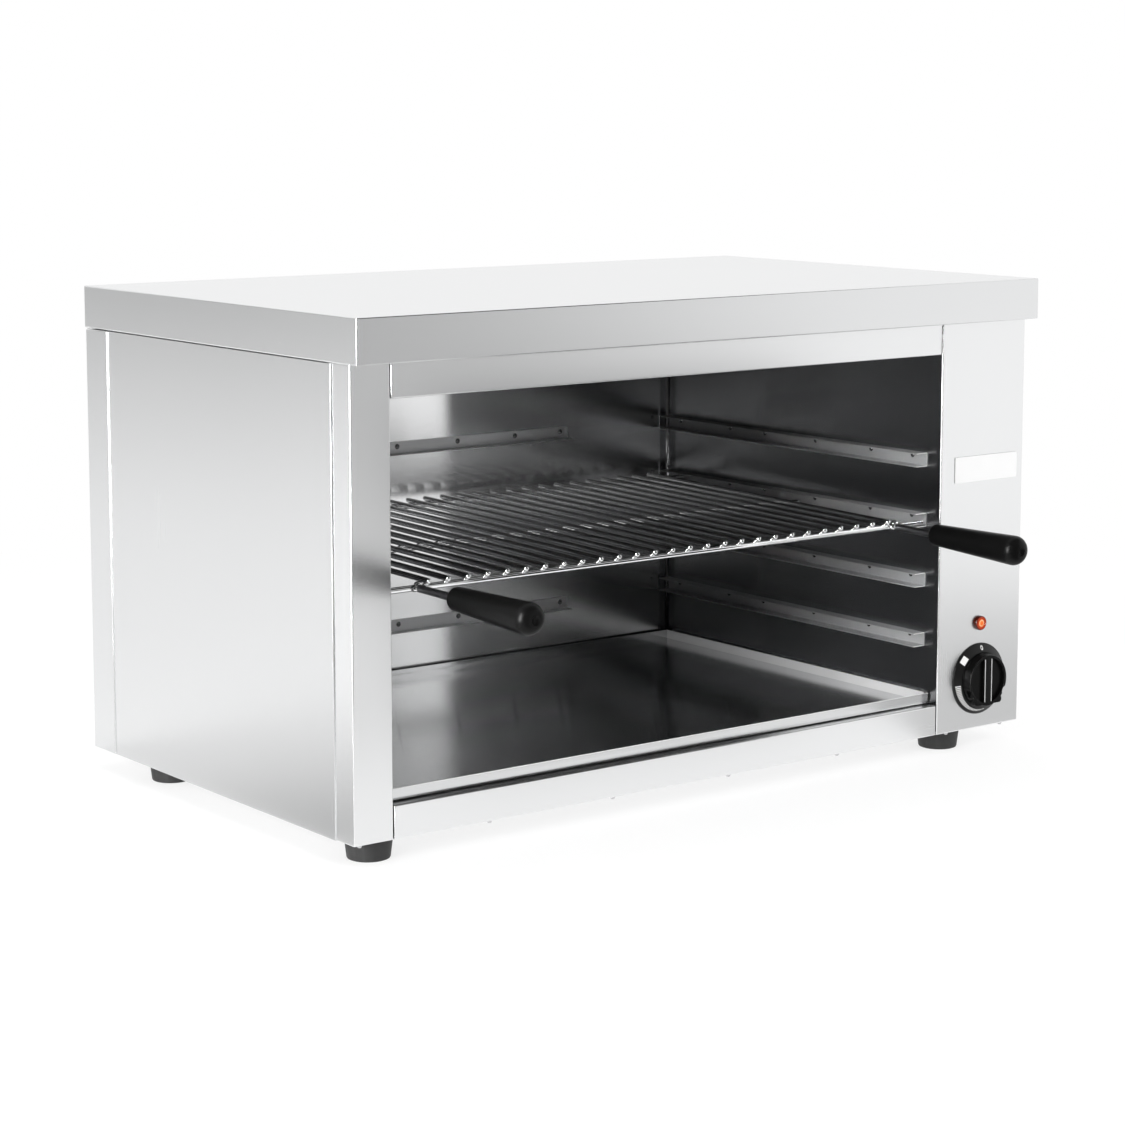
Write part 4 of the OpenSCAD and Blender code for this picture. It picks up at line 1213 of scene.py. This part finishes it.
    def on_face(self, radius: float, angle: float) -> Matrix:
        """A frame on the bezel's sloping face.

        Args:
            radius: the distance from the dial's axis.
            angle: the direction in degrees, counted anticlockwise from the right.

        Returns:
            The frame, with X outwards along the slope and Y along the ring.
        """
        run, rise = self.bezel_r - self.bezel_top_r, self.bezel_h - self.bezel_rim
        height = self.bezel_rim + rise * (self.bezel_r - radius) / run
        turn = Matrix.Rotation(math.radians(angle), 4, "Z")
        slope = Matrix.Rotation(math.atan2(rise, run), 4, "Y")
        return turn @ Matrix.Translation((radius, 0.0, height)) @ slope

    def bar(self, length: float, width: float) -> Mesh:
        """A thin printed bar with its middle on the face."""
        return block(length, width, 2 * self.print_t)

    def marks(self) -> Mesh:
        """The print on the bezel: a 0, one broad mark and a hatched wedge that thins out.

        Returns:
            One mesh of all marks, in the dial's frame.
        """
        whole = bmesh.new()
        (inner, outer), t = self.zero_r, self.print_t
        zero = turned([(inner, -t), (inner, t), (outer, t), (outer, -t), (inner, -t)], 24)
        add_to(whole, zero, [self.on_face(*self.zero_at) @ Matrix.Diagonal(self.zero_stretch)])
        add_to(whole, self.bar(*self.broad_size), [self.on_face(*self.broad_at)])
        for i in range(self.hatches):
            share = i / (self.hatches - 1)
            ends = zip(self.hatch_first, self.hatch_change)
            outer, inner, angle = [first + change * share for first, change in ends]
            hatch = self.bar(outer - inner, self.hatch_w)
            add_to(whole, hatch, [self.on_face((outer + inner) / 2, angle)])
        return whole

    def lens_profile(self) -> Profile:
        """The lens's section: a short barrel, a rounded rim, a groove and a low dome.

        Returns:
            Pairs of radius and height.
        """
        r, h, curve = self.lens_r, self.lens_h, self.lens_round
        points = [(0.0, 0.0), (r, 0.0), (r, self.lens_barrel * h)]
        points += arc((r - curve, h - curve - self.lens_slope), curve, 0, 90, 4)
        points += [(r - inset * MM, h - depth * MM) for inset, depth in self.lens_groove]
        return points + [(self.dome_at[0], h - self.dome_at[1]), (0.0, h)]

    def amber(self) -> Material:
        """The lens's amber plastic, with a painted glow in its middle, a painted highlight ring and
        painted shade that makes it dark red at its rim.

        Returns:
            The material.
        """
        made = bpy.data.materials.new("lens_amber_look")
        made.use_nodes = True
        tree = Tree(made.node_tree)
        place = tree.add("TexCoord").outputs["Object"]
        middle = (self.centre_x, self.shop.front, self.lamp_z)
        flat = tree.vector("MULTIPLY", tree.vector("SUBTRACT", place, middle), (1.0, 0.0, 1.0))
        share = tree.maths("DIVIDE", tree.length(flat), self.lens_r)
        ramp = tree.add("ValToRGB", {"Fac": share})
        stops = ramp.color_ramp.elements
        while len(stops) < len(self.amber_painted_light_rings):
            stops.new(0.5)
        for stop, (spot, colour) in zip(stops, self.amber_painted_light_rings):
            stop.position = spot
            stop.color = (*colour, 1.0)
        grain = tree.noise(place, self.amber_grain, 2.0)
        looks = {
            "Base Color": ramp.outputs["Color"],
            "Roughness": tree.gained(grain, *self.amber_gloss),
            "Specular IOR Level": 0.3,
            "Coat Weight": 0.2,
        }
        tree.fill(made.node_tree.nodes["Principled BSDF"], looks)
        return made


@dataclass
class Electrics:
    """What sits behind the column and at the mains entry."""

    shop: Workshop

    def build(self) -> None:
        """Makes the regulator, screws, terminals, loom, earth stud and gland."""
        for node, finish, slot, edge in (
            ("energy_regulator", REGULATOR, "regulator_plastic", 0.5 * MM),
            ("regulator_screws", RIVET, "rivet_steel", 0.3 * MM),
            ("terminal_block", TERMINAL, "terminal_plastic", 0.4 * MM),
            ("wiring_loom", LOOM, "loom_red", 0.3 * MM),
            ("earth_stud", BRASS, "earth_brass", 0.2 * MM),
            ("cable_gland", GLAND, "gland_plastic", 0.5 * MM),
            ("gland_locknut", GLAND, "gland_plastic", 0.4 * MM),
        ):
            self.shop.eased(node, finish, slot, edge)


@dataclass
class Feet:
    """The four rubber feet with their screws and nuts."""

    shop: Workshop
    foot_edge: float = 1.4 * MM
    screw_edge: float = 0.3 * MM

    def build(self) -> None:
        """Makes the feet with rounded edges, and their screws and nuts."""
        for spot in ("front_left", "front_right", "rear_left", "rear_right"):
            self.shop.eased(f"foot_{spot}", RUBBER, "foot_rubber", self.foot_edge)
        for node in ("foot_screws", "foot_nuts"):
            self.shop.eased(node, RIVET, "rivet_steel", self.screw_edge)


# ---------------------------------------------------------------- the studio


@dataclass
class Studio:
    """Floor, white surroundings, cards that only reflections show, lamps and camera."""

    camera_at: Triple = (-1.641, -2.0985, 0.656)
    camera_turn: float = 37.07
    camera_tilt: float = 7.38
    lens: float = 89.104
    sensor: float = 36.0
    shift: float = -0.10
    view_end: float = 60.0
    around: float = 0.75
    floor_r: float = 12.0
    floor_bounce: float = 0.86
    floor_veil: float = 0.3
    floor_glow: float = 0.72
    floor_fade: Pair = (0.6, 1.5)
    card_foot: float = 0.004
    dark: Pair = (0.02, 0.02)
    aim: Triple = (0.0, 0.0, 0.25)

    def build(self) -> None:
        """Sets up the whole studio."""
        self.camera()
        self.world()
        self.floor()
        self.cards()
        # A soft key lamp from the front right, a fill from the left and one from above.
        self.lamp("key", (1.9, -2.2, 1.9), 1.6, 26.0)
        self.lamp("fill", (-2.3, -0.9, 0.75), 1.2, 34.0)
        self.lamp("top", (0.0, 0.3, 2.6), 1.8, 16.0)
        bpy.context.scene.view_settings.view_transform = "Standard"

    def camera(self) -> None:
        """Places the camera where the photograph was taken from."""
        data = bpy.data.cameras.new("camera")
        data.lens = self.lens
        data.sensor_width = self.sensor
        data.shift_y = self.shift
        data.clip_end = self.view_end
        holder = bpy.data.objects.new("camera", data)
        holder.location = self.camera_at
        turn = (90 - self.camera_tilt, 0.0, -self.camera_turn)
        holder.rotation_euler = [math.radians(angle) for angle in turn]
        bpy.context.scene.collection.objects.link(holder)
        bpy.context.scene.camera = holder

    def world(self) -> None:
        """A soft grey light from all round, seen as plain white."""
        world = bpy.data.worlds.new("studio")
        tree = emptied(world)
        dim = tree.add("Background", {"Color": grey(self.around)})
        white = tree.add("Background", {"Color": grey(1.0)})
        mix = tree.blend(tree.seen(), dim, white)
        tree.add("OutputWorld", {"Surface": mix.outputs[0]})
        bpy.context.scene.world = world

    def floor(self) -> None:
        """A white floor that keeps the object's shadow near it and fades into the backdrop."""
        bm = bmesh.new()
        bmesh.ops.create_circle(bm, cap_ends=True, segments=64, radius=self.floor_r)
        material = bpy.data.materials.new("white_floor")
        tree = emptied(material)
        paper = tree.add("BsdfDiffuse", {"Color": grey(self.floor_bounce)})
        veil = tree.add("BsdfDiffuse", {"Color": grey(self.floor_veil)})
        glow = tree.add("Emission", {"Color": grey(self.floor_glow)})
        near = tree.add("AddShader", {0: veil.outputs[0], 1: glow.outputs[0]})
        distance = tree.length(tree.add("TexCoord").outputs["Object"])
        fade = tree.blend(tree.eased(distance, self.floor_fade), near, tree.add("Emission"))
        mix = tree.blend(tree.seen(), paper, fade)
        tree.add("OutputMaterial", {"Surface": mix.outputs[0]})
        to_object(bm, "floor", [material])

    def card(
        self,
        name: str,
        corners: list[Triple],
        levels: Pair,
        axis: int = 0,
        span: Pair = (0.0, 1.0),
    ) -> None:
        """A card that shows only in reflections, plain or shaded along one axis.

        Args:
            name: the card's name.
            corners: its corners in order.
            levels: its brightness at the span's start and end.
            axis: 0, 1 or 2 for X, Y or Z.
            span: where the shading starts and ends on that axis.
        """
        bm = bmesh.new()
        bm.faces.new([bm.verts.new(corner) for corner in corners])
        material = bpy.data.materials.new(name)
        tree = emptied(material)
        apart = tree.add("SeparateXYZ", {0: tree.add("TexCoord").outputs["Object"]})
        glow = tree.add("Emission", {"Color": tree.eased(apart.outputs[axis], span, levels)})
        tree.add("OutputMaterial", {"Surface": glow.outputs[0]})
        made = to_object(bm, name, [material])
        for rays in ("camera", "diffuse", "transmission", "shadow"):
            setattr(made, "visible_" + rays, False)

    def upright(self, a: Pair, b: Pair, top: float) -> list:
        """The corners of an upright card between two points of the floor."""
        return [(*a, self.card_foot), (*b, self.card_foot), (*b, top), (*a, top)]

    def lying(self, height: float, *points: Pair) -> list:
        """The corners of a card that lies at a height."""
        return [(*point, height) for point in points]

    def cards(self) -> None:
        """The dark side of the studio round the camera, and grey, white and lying cards."""
        corner, left, right = (-3.6, -3.4), (-3.6, -0.95), (-0.5, -3.4)
        for name, corners in (
            ("dark_wall", self.upright(left, corner, 2.2)),
            ("dark_front", self.upright(corner, right, 2.2)),
            ("dark_ground", self.lying(0.004, (-0.95, -0.5), (-0.12, -0.6), right, corner, left)),
            ("dark_roof", self.lying(2.2, corner, (2.4, -3.4), (2.4, -0.25), (-3.6, -0.25))),
            ("dark_board", self.upright((-0.12, -0.46), (0.36, -0.46), 0.345)),
        ):
            self.card(name, corners, self.dark)
        front = self.upright((-0.5, -1.66), (1.35, -1.66), 1.3)
        self.card("grey_front", front, (0.44, 1.0), 0, (0.45, 1.5))
        self.card("white_front", self.upright((0.8, -1.16), (1.2, -1.16), 0.26), (1.05, 1.05))
        side = self.upright((-3.0, 0.6), (-1.2, 2.4), 1.6)
        self.card("grey_side", side, (0.8, 0.38), 2, (0.08, 0.4))
        self.card("white_side", self.upright((-1.9, -0.85), (-1.9, -0.3), 1.3), (34.0, 34.0))
        near = self.lying(0.003, (-0.5, -0.9), (0.9, -0.9), (0.5, -0.19), (-0.5, -0.19))
        self.card("front_ground", near, (1.0, 1.0))
        points = ((0.3, -0.19), (0.44, -0.45), (0.7, -0.75), (0.95, -0.75), (0.95, -0.19))
        self.card("right_ground", self.lying(0.0035, *points), (0.6, 0.6))
        beside = self.lying(0.003, (-0.75, -0.17), (-0.43, -0.17), (-0.43, 0.35), (-0.75, 0.35))
        self.card("side_ground", beside, (0.5, 0.85), 1, (-0.1, 0.3))

    def lamp(self, name: str, at: Triple, size: float, energy: float) -> None:
        """A square soft lamp that points at the object and shows in no reflection.

        Args:
            name: the lamp's name.
            at: where it hangs.
            size: its side.
            energy: its power in watts.
        """
        data = bpy.data.lights.new(name, "AREA")
        data.shape = "SQUARE"
        data.size = size
        data.energy = energy
        holder = bpy.data.objects.new(name, data)
        holder.location = at
        aim = Vector(self.aim) - Vector(at)
        holder.rotation_euler = aim.to_track_quat("-Z", "Y").to_euler()
        holder.visible_camera = False
        holder.visible_glossy = False
        bpy.context.scene.collection.objects.link(holder)


def main() -> None:
    """Loads the frame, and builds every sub-assembly and the studio."""
    logging.basicConfig(level=logging.INFO, format="%(name)s: %(message)s")
    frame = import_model()
    shop = Workshop(EffectGroups())
    for part in (Cabinet, Cavity, WireGrid, DripTray, Heating, Controls, Electrics, Feet):
        part(shop).build()
    bare = sorted(set(frame["nodes"]) - shop.dressed)
    LOG.info("nodes without a finish: %s", bare or "none")
    Studio().build()


if __name__ == "__main__":
    main()
